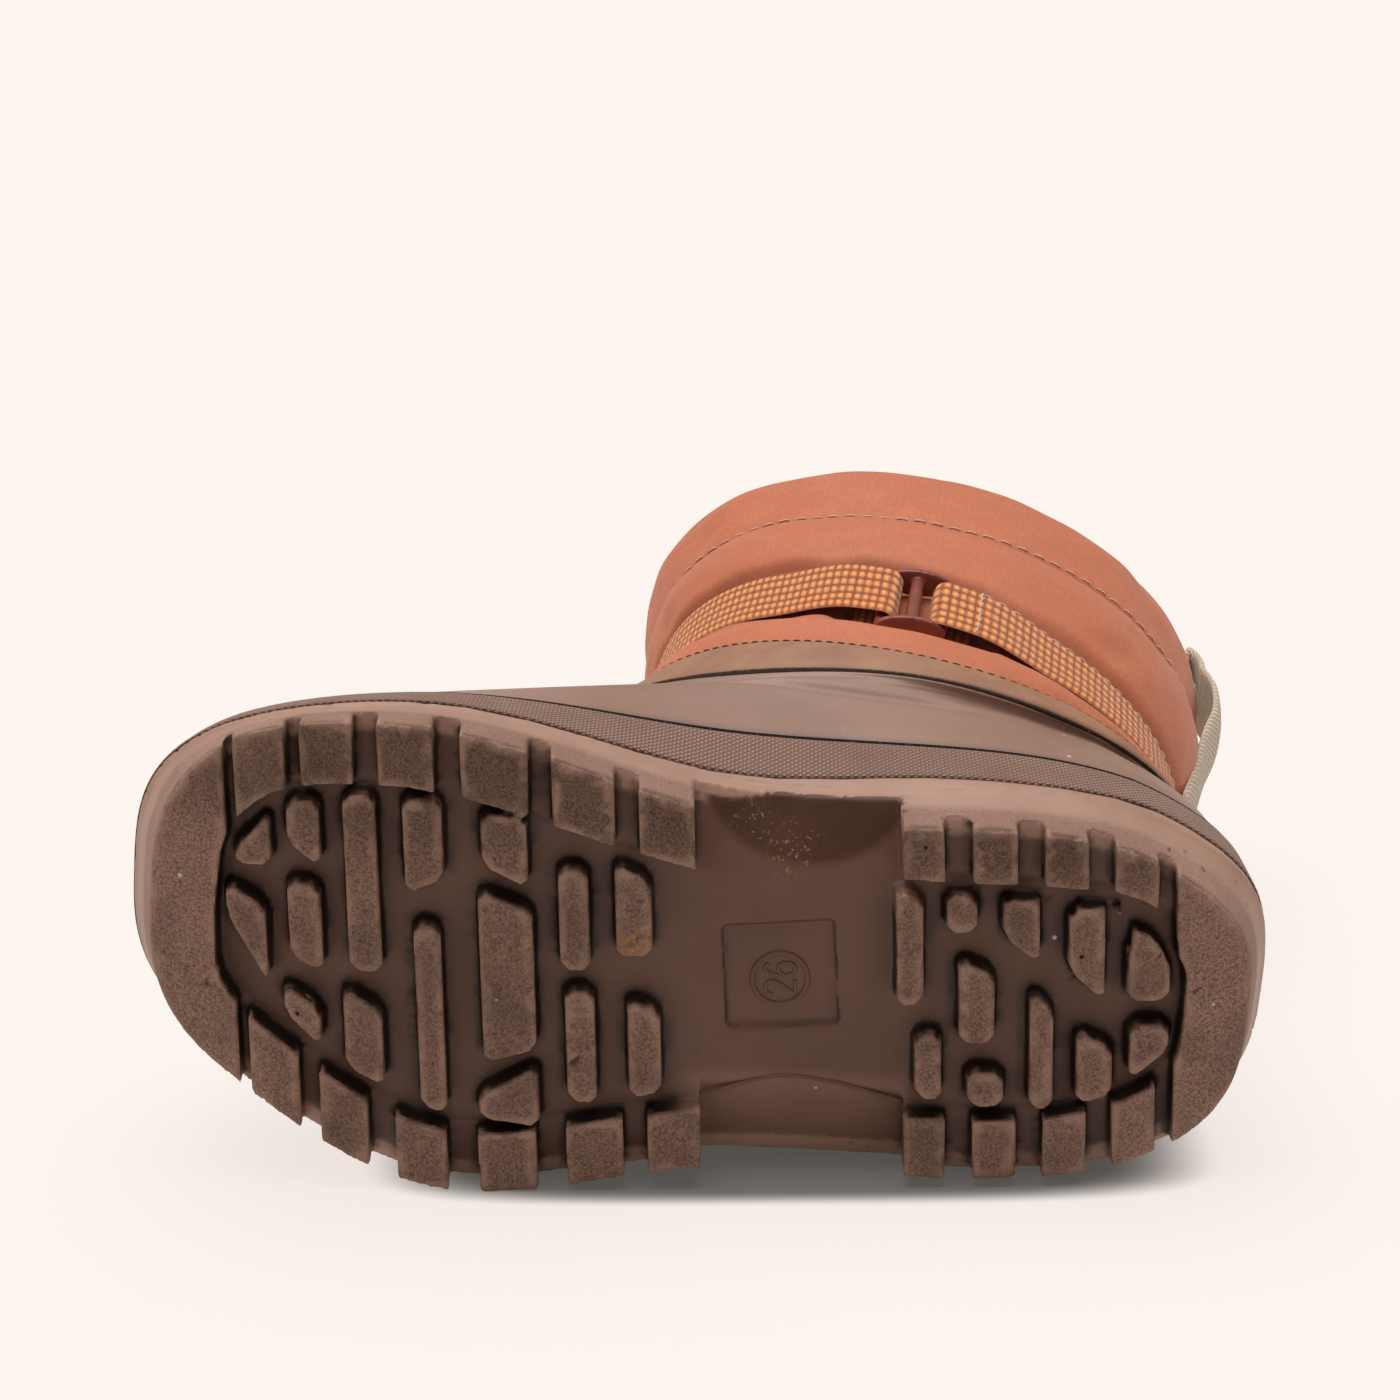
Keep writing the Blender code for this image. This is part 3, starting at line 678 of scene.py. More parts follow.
class Nodes:
    """Short words for laying out a finish."""

    def __init__(self, name: str) -> None:
        """Start a finish with one Principled shader.

        Args:
            name: Name of the material.
        """
        self.material = bpy.data.materials.new(name)
        self.material.use_nodes = True
        self.tree = self.material.node_tree
        self.shader = self.tree.nodes["Principled BSDF"]
        place = self.tree.nodes.new("ShaderNodeTexCoord")
        self.place = place.outputs["Object"]
        self.map = place.outputs["UV"]

    def add(self, kind: str, **settings: object) -> Node:
        """Add a node and set its properties.

        Args:
            kind: Type of the node.
            **settings: Its properties by name.

        Returns:
            The node.
        """
        node = self.tree.nodes.new(kind)
        for key, value in settings.items():
            setattr(node, key, value)
        return node

    def feed(self, socket: Socket, value: object) -> None:
        """Link a socket, or set it where the value is plain.

        Args:
            socket: Socket to fill.
            value: Another socket, or a plain value.
        """
        if isinstance(value, Socket):
            self.tree.links.new(value, socket)
        elif isinstance(value, tuple) and len(value) == 3 and socket.type == "RGBA":
            socket.default_value = (*value, 1.0)
        else:
            socket.default_value = value

    def math(self, operation: str, a: object, b: object = 0.0) -> Socket:
        """One calculation with one or two numbers.

        Args:
            operation: Name of the calculation.
            a: First number.
            b: Second number.

        Returns:
            The result.
        """
        node = self.add("ShaderNodeMath", operation=operation)
        self.feed(node.inputs[0], a)
        self.feed(node.inputs[1], b)
        return node.outputs[0]

    def span(self, value: object, low: float, high: float, to_low: float = 0.0,
             to_high: float = 1.0) -> Socket:
        """Map a number smoothly from one range to another and hold it there.

        Args:
            value: The number.
            low: Start of its range.
            high: End of its range.
            to_low: What the start becomes.
            to_high: What the end becomes.

        Returns:
            The mapped number.
        """
        node = self.add("ShaderNodeMapRange", interpolation_type="SMOOTHSTEP")
        for index, item in enumerate((value, low, high, to_low, to_high)):
            self.feed(node.inputs[index], item)
        return node.outputs[0]

    def stretched(self, scale: tuple[float, float, float], source: Optional[object] = None) -> object:
        """Coordinates stretched along each axis.

        Args:
            scale: Factor on each axis.
            source: Coordinates, or the place on the object where none are given.

        Returns:
            The coordinates.
        """
        node = self.add("ShaderNodeMapping")
        self.feed(node.inputs["Vector"], source if source is not None else self.place)
        node.inputs["Scale"].default_value = scale
        return node.outputs[0]

    def noise(self, scale: float, detail: float = 3.0, rough: float = 0.55,
              source: Optional[object] = None) -> Socket:
        """Cloudy value from 0 to 1; the scale is in features per unit of the coordinates.

        Args:
            scale: Features per unit of the coordinates.
            detail: Number of finer layers.
            rough: Weight of the finer layers.
            source: Coordinates, or the place on the object where none are given.

        Returns:
            The value.
        """
        node = self.add("ShaderNodeTexNoise")
        self.feed(node.inputs["Vector"], source if source is not None else self.place)
        node.inputs["Scale"].default_value = scale
        node.inputs["Detail"].default_value = detail
        node.inputs["Roughness"].default_value = rough
        return node.outputs[0]

    def specks(self, scale: float, size: float, share: float) -> Socket:
        """Scattered dots: near a cell's middle, in that share of the cells.

        Args:
            scale: Cells per metre.
            size: Radius of a dot, as a share of a cell.
            share: Share of the cells with a dot.

        Returns:
            One in a dot, else nothing.
        """
        node = self.add("ShaderNodeTexVoronoi")
        self.feed(node.inputs["Vector"], self.place)
        node.inputs["Scale"].default_value = scale
        dot = self.span(node.outputs["Distance"], size, size * 0.5)
        split = self.add("ShaderNodeSeparateColor")
        self.feed(split.inputs[0], node.outputs["Color"])
        return self.math("MULTIPLY", dot, self.math("LESS_THAN", split.outputs[0], share))

    def mix(self, share: object, first: object, second: object,
            blend: str = "MIX") -> Socket:
        """Blend two colours.

        Args:
            share: Share of the second colour.
            first: First colour.
            second: Second colour.
            blend: Way of blending.

        Returns:
            The colour.
        """
        node = self.add("ShaderNodeMix", data_type="RGBA", blend_type=blend)
        self.feed(node.inputs[0], share)
        self.feed(node.inputs[6], first)
        self.feed(node.inputs[7], second)
        return node.outputs[2]

    def tones(self, share: object, colour: Colour, low: float, high: float) -> Socket:
        """Blend from a darker to a paler tone of one colour."""
        return self.mix(share, tuple(low * c for c in colour), tuple(high * c for c in colour))

    def tint(self, share: object, colour: object, by: Colour) -> Socket:
        """Multiply a colour by another, to a share."""
        return self.mix(share, colour, self.mix(1.0, colour, by, "MULTIPLY"))

    def value(self, name: str) -> Socket:
        """Number kept on the mesh under a name."""
        return self.add("ShaderNodeAttribute", attribute_name=name).outputs["Fac"]

    def near(self, spot: Array, reach_mm: float) -> Socket:
        """One at a spot of the boot, falling to nothing at its reach.

        Args:
            spot: The spot, in boot millimetres.
            reach_mm: Its reach.

        Returns:
            Value from 0 to 1.
        """
        node = self.add("ShaderNodeVectorMath", operation="DISTANCE")
        self.feed(node.inputs[0], self.place)
        node.inputs[1].default_value = tuple(POSE.world(np.asarray(spot, dtype=float)))
        return self.span(node.outputs["Value"], reach_mm * MM, 0.0)

    def map_axes(self) -> tuple[Socket, Socket]:
        """Millimetres along and across the piece's own map."""
        node = self.add("ShaderNodeSeparateXYZ")
        self.feed(node.inputs[0], self.map)
        return node.outputs[0], node.outputs[1]

    def wave(self, value: object, pitch: float) -> Socket:
        """Sine of a length over a pitch, from -1 to 1."""
        return self.math("SINE", self.math("MULTIPLY", value, TAU / pitch))

    def relief(self, height: object, depth_mm: float, strength: float = 1.0,
               below: Optional[object] = None) -> Socket:
        """Bump from a height of 0 to 1 that stands for a depth.

        Args:
            height: The height.
            depth_mm: The depth.
            strength: How much of it shows.
            below: Normal of a coarser bump under it.

        Returns:
            The bumped normal.
        """
        node = self.add("ShaderNodeBump")
        node.inputs["Strength"].default_value = strength
        node.inputs["Distance"].default_value = depth_mm * MM
        self.feed(node.inputs["Height"], height)
        if below is not None:
            self.feed(node.inputs["Normal"], below)
        return node.outputs[0]

    def finish(self, colour: object, rough: object, normal: Optional[object] = None,
               **plain: object) -> Material:
        """Feed the shader.

        Args:
            colour: Base colour.
            rough: Roughness.
            normal: Bumped normal, if any.
            **plain: Further sockets by name, with _ for a space.

        Returns:
            The material.
        """
        self.feed(self.shader.inputs["Base Color"], colour)
        self.feed(self.shader.inputs["Roughness"], rough)
        if normal is not None:
            self.feed(self.shader.inputs["Normal"], normal)
        for key, value in plain.items():
            self.feed(self.shader.inputs[key.replace("_", " ")], value)
        return self.material


@dataclass(frozen=True)
class TreadRubber:
    """Sole rubber: sandy faces, smooth field, painted shade in its walls and hollows, worn edges, a rust
    stain, dust.
    """
    sand: Colour = (0.240, 0.136, 0.098)
    field: Colour = (0.138, 0.066, 0.044)
    # wall: near-black painted shade for the walls of the lugs and islands, where the light above does not
    # reach
    wall: Colour = (0.020, 0.011, 0.008)
    side: Colour = (0.405, 0.234, 0.170)
    # scoop: painted shade in the hollow at the top of the arch
    scoop: Colour = (0.072, 0.027, 0.014)
    tan: Colour = (0.46, 0.275, 0.195)
    stain: Colour = (0.42, 0.20, 0.07)

    def build(self) -> Material:
        """Lay out the finish; it reads its zones, with their painted light and shade, from the points.

        Returns:
            The material.
        """
        n = Nodes("tread rubber")
        grain = n.noise(2300, 4, 0.7)
        tone = n.noise(70, 3, 0.5)
        sand = n.value("sand")
        sharp = n.span(grain, 0.32, 0.68)
        sandy = n.tones(sharp, self.sand, 0.47, 1.45)
        plain = n.mix(n.value("side"), self.field, self.side)
        # painted shade in the arch's hollow, patchy
        hollow = n.math("MULTIPLY", n.value("scoop"), n.span(n.noise(120, 3), 0.2, 0.6, 0.65, 1.0))
        plain = n.mix(hollow, plain, self.scoop)
        base = n.mix(sand, plain, sandy)
        # painted light: the sandy faces at the toe and heel ends made paler
        base = n.tint(n.math("MULTIPLY", n.value("pale"), sand), base, (1.35, 1.38, 1.42))
        # painted shade: the walls of the lugs and islands mixed to near-black
        base = n.mix(n.value("wall"), base, self.wall)
        base = n.tint(n.span(tone, 0.35, 0.7, 0.0, 0.4), base, (0.72, 0.66, 0.62))
        # painted shade on the upper row of lugs
        base = n.tint(n.math("MULTIPLY", n.value("shade"), 0.6), base, (0.42, 0.39, 0.37))
        # painted shade: crevices mixed towards the near-black wall colour
        base = n.mix(n.math("MULTIPLY", n.value("crevice_shade"), 0.8), base, self.wall)
        edge = n.math("MULTIPLY", n.value("worn"), n.span(n.noise(260, 3), 0.3, 0.62, 0.08, 0.62))
        base = n.mix(edge, base, self.tan)
        dirty = n.math("MULTIPLY", n.span(n.noise(60, 4), 0.5, 0.62), sand)
        base = n.mix(n.math("MULTIPLY", dirty, 0.25), base, (0.075, 0.045, 0.034))
        rust = n.math("MULTIPLY", n.near((106.0, 6.5, 0.0), 5.2), n.span(n.noise(900, 3), 0.38, 0.6))
        base = n.mix(rust, base, self.stain)
        crumbs = n.math("MAXIMUM", n.near((88.0, 27.0, 7.5), 6), n.near((80.5, 23.5, 6.0), 7))
        crumbs = n.math("MULTIPLY", crumbs, n.span(n.noise(1500, 2), 0.6, 0.68))
        base = n.mix(crumbs, base, (0.36, 0.24, 0.11))
        base = n.mix(n.specks(150, 0.075, 0.12), base, (0.62, 0.52, 0.44))
        pores = n.math("MULTIPLY", n.specks(190, 0.10, 0.07), sand)
        base = n.mix(pores, base, (0.012, 0.008, 0.006))
        height = n.math("MULTIPLY", grain, n.span(sand, 0.0, 1.0, 0.07, 1.0))
        rough = n.span(sand, 0.0, 1.0, 0.46, 0.88)
        return n.finish(base, rough, n.relief(height, 0.6, 0.9), Specular_IOR_Level=0.28)


@dataclass(frozen=True)
class ShellRubber:
    """Satin moulded rubber with painted shadow along the seam with the sole, faint scuffs and dust."""
    base: Colour = (0.285, 0.160, 0.113)
    # seam: near-black painted shadow in the gap where the shell meets the sole
    seam: Colour = (0.018, 0.010, 0.007)

    def build(self) -> Material:
        """Lay out the finish; the painted shadow along the seam is read from the mesh.

        Returns:
            The material.
        """
        n = Nodes("shell rubber")
        tone = n.noise(38, 3, 0.5)
        base = n.tones(n.span(tone, 0.3, 0.72), self.base, 0.90, 1.1)
        rub = n.noise(420, 4, 0.6, n.stretched((1.0, 0.25, 1.0)))
        base = n.mix(n.span(rub, 0.60, 0.76, 0.0, 0.22), base, (0.40, 0.27, 0.215))
        base = n.mix(n.specks(120, 0.06, 0.14), base, (0.60, 0.50, 0.43))
        # painted shadow along the seam with the sole
        base = n.mix(n.value("seam"), base, self.seam)
        rough = n.span(n.noise(55, 3), 0.3, 0.7, 0.42, 0.52)
        skin = n.relief(n.noise(1400, 2), 0.05, 0.35, n.relief(n.noise(75, 2), 0.3, 0.3))
        return n.finish(base, rough, skin, Specular_IOR_Level=0.5)


@dataclass(frozen=True)
class KnurlRubber:
    """Side band of small pyramids, paler on their points, partly from wear and partly as painted highlight.
    """
    base: Colour = (0.230, 0.125, 0.090)
    point: Colour = (0.50, 0.290, 0.212)
    pitch: float = 1.35

    def build(self) -> Material:
        """Lay out the finish: on diagonals a and b of the map a pyramid's height is the lesser of two tents.

        Returns:
            The material.
        """
        n = Nodes("knurled rubber")
        along, across = n.map_axes()
        tents = []
        for operation in ("ADD", "SUBTRACT"):
            line = n.math("DIVIDE", n.math(operation, along, across), self.pitch)
            tents.append(n.math("PINGPONG", line, 0.5))
        peak = n.math("MULTIPLY", n.math("MINIMUM", *tents), 2.0)
        # paler points: partly wear, partly painted highlight on the tops of the pyramids
        worn = n.math("MULTIPLY", n.span(peak, 0.30, 0.85), n.span(n.noise(90, 4), 0.25, 0.6, 0.4, 1.0))
        base = n.mix(worn, self.base, self.point)
        base = n.mix(n.specks(140, 0.06, 0.10), base, (0.62, 0.52, 0.44))
        return n.finish(base, 0.55, n.relief(peak, 0.45, 1.0), Specular_IOR_Level=0.4)


@dataclass(frozen=True)
class TrimStrip:
    """Taupe coated strip with a fine matt grain and a darker cut edge."""
    base: Colour = (0.325, 0.158, 0.092)

    def build(self) -> Material:
        """Lay out the finish; the cut edge is read from the mesh.

        Returns:
            The material.
        """
        n = Nodes("trim strip")
        tone = n.noise(110, 4, 0.55)
        base = n.tones(n.span(tone, 0.3, 0.7), self.base, 0.88, 1.12)
        base = n.mix(n.value("edge"), base, (0.060, 0.034, 0.022))
        grain = n.relief(n.noise(2400, 3, 0.6), 0.12, 0.5, n.relief(n.noise(240, 2), 0.2, 0.3))
        return n.finish(base, 0.58, grain, Specular_IOR_Level=0.35)


@dataclass(frozen=True)
class FuzzyEdge:
    """Dark felt edge between trim and shell."""
    base: Colour = (0.030, 0.019, 0.013)

    def build(self) -> Material:
        """Lay out the finish.

        Returns:
            The material.
        """
        n = Nodes("felt edge")
        hairs = n.noise(1900, 4, 0.7)
        base = n.mix(n.span(hairs, 0.55, 0.75), self.base, (0.14, 0.09, 0.06))
        return n.finish(base, 0.95, n.relief(hairs, 0.35, 0.9), Specular_IOR_Level=0.15)


@dataclass(frozen=True)
class CrinkledNylon:
    """Rust nylon: fine plain weave, crinkled up the leg, with painted shade in the seam and the crease."""
    base: Colour = (0.555, 0.168, 0.080)
    deep: Colour = (0.330, 0.080, 0.038)

    def build(self) -> Material:
        """Lay out the finish; the painted shade of the seam and the crease is read from the mesh.

        Returns:
            The material.
        """
        n = Nodes("rust nylon")
        along, across = n.map_axes()
        weave = n.math("MULTIPLY", n.wave(along, 0.62), n.wave(across, 0.62))
        weave = n.span(weave, -1.0, 1.0)
        crinkle = n.noise(1.0, 4, 0.62, n.stretched((1.7, 0.42, 1.0), n.map))
        soft = n.noise(1.0, 3, 0.5, n.stretched((0.10, 0.16, 1.0), n.map))
        base = n.tones(n.span(crinkle, 0.36, 0.66), self.base, 0.93, 1.06)
        base = n.mix(n.span(weave, 0.2, 0.9, 0.10, 0.0), base, self.deep)
        base = n.mix(n.span(soft, 0.35, 0.7, 0.16, 0.0), base, self.deep)
        # painted shade in the collar seam and the crease above the strap
        base = n.mix(n.math("MULTIPLY", n.value("crease"), 0.75), base, self.deep)
        skin = n.relief(weave, 0.06, 0.55, n.relief(crinkle, 0.17, 0.5))
        return n.finish(base, 0.62, skin, Specular_IOR_Level=0.3, Sheen_Weight=0.12, Sheen_Roughness=0.5,
                        Sheen_Tint=(1.0, 0.72, 0.60, 1.0))


@dataclass(frozen=True)
class Fleece:
    """Soft pile lining or footbed cover."""
    base: Colour = (0.50, 0.40, 0.30)

    def build(self) -> Material:
        """Lay out the finish.

        Returns:
            The material.
        """
        n = Nodes("fleece")
        pile = n.noise(700, 5, 0.68)
        base = n.tones(n.span(pile, 0.3, 0.7), self.base, 0.72, 1.12)
        base = n.mix(n.span(n.noise(60, 3), 0.35, 0.7, 0.0, 0.25), base, (0.30, 0.22, 0.16))
        return n.finish(base, 0.95, n.relief(pile, 1.1, 0.8), Specular_IOR_Level=0.15, Sheen_Weight=0.3)


@dataclass(frozen=True)
class CheckWebbing:
    """Amber webbing, pale on the knuckles and dark red between: partly yarn colour, partly painted highlight
    and shade.
    """
    low: Colour = (0.255, 0.066, 0.022)
    middle: Colour = (0.62, 0.200, 0.058)
    high: Colour = (0.88, 0.355, 0.108)

    def build(self) -> Material:
        """Lay out the finish; the height of the weave is read from the mesh.

        Returns:
            The material.
        """
        n = Nodes("amber webbing")
        along, across = n.map_axes()
        knuckle = n.value("weave")
        uneven = n.noise(1.3, 4, 0.65, n.map)
        lifted = n.math("ADD", knuckle, n.math("MULTIPLY", n.math("SUBTRACT", uneven, 0.5), 0.9))
        # by the weave's height: partly the yarn's colour, partly painted highlight on the knuckles and
        # painted shade between them
        base = n.mix(n.span(lifted, 0.10, 0.48), self.low, self.middle)
        base = n.mix(n.span(lifted, 0.50, 0.88), base, self.high)
        thread = n.math("MULTIPLY", n.wave(along, 0.36), n.wave(across, 0.42))
        skin = n.relief(n.span(thread, -1, 1), 0.10, 0.6, n.relief(n.noise(3.0, 3, 0.6, n.map), 0.10, 0.4))
        return n.finish(base, 0.82, skin, Specular_IOR_Level=0.2, Sheen_Weight=0.2)


@dataclass(frozen=True)
class CreamWebbing:
    """Cream twill tape with painted shade in its ribs, soiled in patches."""
    base: Colour = (0.68, 0.54, 0.40)

    def build(self) -> Material:
        """Lay out the finish.

        Returns:
            The material.
        """
        n = Nodes("cream webbing")
        along, across = n.map_axes()
        rib = n.span(n.wave(n.math("ADD", along, n.math("MULTIPLY", across, 0.55)), 1.15), -1, 1)
        yarn = n.span(n.math("MULTIPLY", n.wave(along, 0.5), n.wave(across, 0.5)), -1, 1)
        base = n.tones(rib, self.base, 0.74, 1.1)
        base = n.mix(n.span(n.noise(0.25, 4, 0.6, n.map), 0.48, 0.72, 0.0, 0.5), base, (0.40, 0.34, 0.25))
        skin = n.relief(yarn, 0.12, 0.6, n.relief(rib, 0.25, 0.7))
        return n.finish(base, 0.85, skin, Specular_IOR_Level=0.2, Sheen_Weight=0.2)


@dataclass(frozen=True)
class RustPlastic:
    """Moulded red-brown plastic, softly glossy with faint flow marks."""
    base: Colour = (0.230, 0.048, 0.028)

    def build(self) -> Material:
        """Lay out the finish.

        Returns:
            The material.
        """
        n = Nodes("rust plastic")
        flow = n.noise(160, 3, 0.5)
        base = n.tones(n.span(flow, 0.3, 0.7), self.base, 0.86, 1.15)
        rough = n.span(n.noise(500, 3), 0.3, 0.7, 0.30, 0.42)
        return n.finish(base, rough, n.relief(n.noise(1500, 2), 0.04, 0.3),
                        Coat_Weight=0.15, Coat_Roughness=0.3)


@dataclass(frozen=True)
class Thread:
    """Sewing thread with a fine twist."""
    name: str
    base: Colour

    def build(self) -> Material:
        """Lay out the finish.

        Returns:
            The material.
        """
        n = Nodes(self.name)
        along, across = n.map_axes()
        ply = n.span(n.wave(n.math("ADD", along, n.math("MULTIPLY", across, 1.2)), 0.35), -1, 1)
        base = n.tones(ply, self.base, 0.7, 1.0)
        return n.finish(base, 0.7, n.relief(ply, 0.06, 0.6), Specular_IOR_Level=0.3)


def line_inside(mesh: Mesh, rows: int, first: int) -> None:
    """Give a ring-shaped mesh its second finish from one row of faces on.

    Args:
        mesh: Mesh, changed in place.
        rows: Number of its rows.
        first: First row with the second finish.
    """
    inside = np.repeat(np.arange(rows) >= first, len(mesh.polygons) // rows)
    mesh.polygons.foreach_set("material_index", inside.astype(np.int32))


def stitches(name: str, middle: Array, ahead: Array, up: Array, length: float, radius: float) -> Mesh:
    """A row of sewn stitches as small capsules that dive in at both ends.

    At t from -1 to 1 along a stitch its middle is at ahead length t / 2 - up radius 1.3 t^4, and its
    section is a circle of radius (1 - 0.55 t^4).

    Args:
        name: Name of the mesh.
        middle: Middle of each stitch on the cloth, in boot millimetres.
        ahead: Unit direction of each stitch.
        up: Unit normal of the cloth at each stitch.
        length: Length of a stitch.
        radius: Half thickness of the thread.

    Returns:
        The mesh.
    """
    rows, cols = 7, 8
    t = np.linspace(-1, 1, rows)[:, None]
    turn = turns(cols)[None]
    girth = radius * (1 - 0.55 * t ** 4)
    local = np.stack(np.broadcast_arrays(length / 2 * t, girth * np.cos(turn),
                                         radius * (0.35 - 1.3 * t ** 4) + girth * np.sin(turn)), axis=-1)
    side = np.cross(up, ahead)
    axes = np.stack((ahead, side, up), axis=1)
    points = middle[:, None, None] + np.einsum("rck,nkx->nrcx", local, axes)
    faces, corners = grid_faces(rows, cols, False, True)
    ends = np.stack((np.arange(cols)[::-1], np.arange(cols) + (rows - 1) * cols))
    step = (np.arange(len(middle)) * rows * cols)[:, None, None]
    lists = (faces[None] + step).reshape(-1, 4).tolist() + (ends[None] + step).reshape(-1, cols).tolist()
    spots = np.stack((corners[..., 0] * length / (rows - 1), corners[..., 1] * TAU * radius / cols), axis=-1)
    spots = np.concatenate((np.tile(spots.reshape(-1, 2), (len(middle), 1)),
                            np.zeros((2 * cols * len(middle), 2))))
    return closed_mesh(name, points, lists, spots)


def even_turns(level: float, spacing: float) -> Array:
    """Turns at an even spacing in millimetres along a level.

    Args:
        level: The level.
        spacing: Least distance from turn to turn.

    Returns:
        Turns in the middle of even steps.
    """
    fine = np.linspace(0.0, TAU, 1200)
    run = arc_mm(FORM.point(np.full_like(fine, level), fine)[:, None], 0, False)
    count = int(run[-1] // spacing)
    return np.interp((np.arange(count) + 0.5) * run[-1] / count, run, fine)


def stitch_ring(name: str, level: float, out: float | Array, spacing: float, length: float,
                radius: float) -> Mesh:
    """Stitches all the way round the boot on one level.

    Args:
        name: Name of the mesh.
        level: Their level.
        out: How far out of the surface they lie.
        spacing: Distance from stitch to stitch.
        length: Length of a stitch.
        radius: Half thickness of the thread.

    Returns:
        The mesh.
    """
    at = even_turns(level, spacing)
    levels = np.full_like(at, level)
    away = np.broadcast_to(out, at.shape)
    ahead = unit(FORM.shell(levels, at + 0.01, away) - FORM.shell(levels, at - 0.01, away))
    return stitches(name, FORM.shell(levels, at, away), ahead, FORM.normal(levels, at), length, radius)


def bead(path: Array, up: Array, radius: float, closed: bool) -> Surface:
    """A round bead along a flat path.

    Args:
        path: Points along the middle, in boot millimetres.
        up: Unit normal of the path's plane.
        radius: Radius of the bead.
        closed: Whether the path is a loop.

    Returns:
        The surface.
    """
    if closed:
        ahead = np.roll(path, -1, axis=0) - np.roll(path, 1, axis=0)
    else:
        ahead = np.gradient(path, axis=0)
    side = unit(np.cross(up, unit(ahead)))
    turn = turns(10)
    ring = np.cos(turn)[None, :, None] * side[:, None] + np.sin(turn)[None, :, None] * up
    points = path[:, None] + radius * ring
    return loop_surface(points) if closed else sweep_surface(points)


@dataclass
class Sole:
    """Cup sole with its tread, knurled side band and size mark.

    Attributes:
        rim_width: Width of the ring of edge lugs.
        step: How far the side band stands out.
        voxel: Size of the faces of the moulded skin.
        thin: How much larger they may grow where it is flat.
        mark_at: Middle of the size ring on the sole.
        mark_height: Height of the panel that carries it.
        heel_gap: Corners of the gap between the heel's inner rim lugs and islands, in plan.
        gap_from: Height below the tread where its cut starts.
        field: Height of the ground between the islands.
        fine_below: Height below which the skin gets finer faces for its zones.
        longest: Longest edge of those faces.
        seam_radius: Radius of the bead of painted shadow along the rim.
        rib_radius: Radius of the rib across the waist.
        rib_height: Height of its middle.
        seam_in: Distance of that bead in from the rim.
        seam_up: Its distance above the rim.
        ring_radius: Radius of the size ring.
        ring_bead: Radius of its bead.
        digit_bead: Radius of the digits' strokes.
        digit_tall: Height of a digit.
        mark_tilt_deg: Turn of the numeral on the sole.
    """
    rim_width: float = 10.5
    step: float = 0.6
    voxel: float = 0.5
    thin: float = 0.06
    mark_at: tuple[float, float] = (81.0, -0.3)
    mark_height: float = 6.3
    heel_gap: tuple[tuple[float, float], ...] = HEEL_GAP
    gap_from: float = -4.0
    field: float = 5.0
    fine_below: float = 11.5
    longest: float = 1.25
    seam_radius: float = 0.72
    rib_radius: float = 0.34
    rib_height: float = 5.3
    seam_in: float = 0.55
    seam_up: float = 0.25
    ring_radius: float = 4.7
    ring_bead: float = 0.42
    digit_bead: float = 0.33
    digit_tall: float = 5.1
    mark_tilt_deg: float = -5.0

    def zones(self, mesh: Mesh) -> dict[str, Array]:
        """Sort the points by height, slope and distance from the outline; find worn edges, and crevices for
        painted shade.

        A point's bend is how far the mean of its neighbours lies out of it along its normal, spread over
        two rounds: above nothing in a crevice, below on an edge. The other zones are products of eased
        steps in height above the tread, slope, and distance in from the outline; the scoop at the arch is
        half an ellipse.

        Args:
            mesh: The sole's mesh.

        Returns:
            A number from 0 to 1 per point under each zone's name.
        """
        spot, ends = mesh_points(mesh), mesh_edges(mesh)
        normal = np.empty(len(spot) * 3)
        mesh.vertex_normals.foreach_get("vector", normal)
        normal = normal.reshape(-1, 3) @ POSE.spin()
        slope = normal[:, 2]
        height = spot[:, 2] - FORM.lift(spot[:, 0])
        inward = np.full(len(spot), 99.0)
        low = height < 18
        inward[low] = self.outline_at(spot[low], 360)[1]
        bend = np.einsum("ij,ij->i", beside(spot, ends) - spot, normal)[:, None]
        for _ in range(2):
            bend = 0.4 * bend + 0.6 * beside(bend, ends)
        bend = bend[:, 0] / self.voxel
        x, y = spot[:, 0], spot[:, 1]
        flank = 1 - smooth(0.70, 0.85, np.abs(slope))
        face_on = smooth(1.0, 0.4, height) * smooth(-0.35, -0.7, slope)
        outer = smooth(9.5, 6.5, height) * smooth(2.4, 1.4, inward) * flank
        waist = window((56, 60), (95, 99), x) * smooth(18, 15, inward)
        rising = smooth(0.7, 1.3, height) * flank
        # wall and groove: where painted shade darkens the rising walls of the lugs and the grooves between
        # them
        wall = rising * smooth(6.2, 5.2, height) * smooth(0.6, 0.75, inward / self.rim_width)
        groove = rising * smooth(9.0, 7.5, height) * smooth(1.6, 2.6, inward)
        flat = np.hypot((x - 79.0) / 17.5, inward / 10.5)
        # the arch's hollow that gets painted shade, half an ellipse
        scoop = (smooth(4, 8, y) * smooth(-0.1, -0.2, slope) * smooth(1.03, 0.9, flat)
                 * smooth(4.0, 5.5, height))
        scoop *= smooth(12.2, 10.9, height) * smooth(-1.5, -0.7, inward - 3.0 * smooth(76, 94, x))
        side = smooth(3.5, 2.5, inward) * smooth(0.8, 2.0, height) * (1 - scoop)
        # painted light: the lower waist, which faces down, gets a share of the paler side colour
        side = np.maximum(side, 0.25 * waist * smooth(-12, -20, y))
        # where crevices take painted shade, less on the size panel
        covered = np.maximum(smooth(1.2, 2.4, inward), smooth(9.5, 7.5, height))
        covered *= 1 - 0.75 * window((56, 60), (94, 98), x)
        # pale: painted light on the lug faces at the toe and heel ends
        pale = np.maximum(smooth(160, 170, x), smooth(26, 16, x)) * smooth(15, 11, inward)
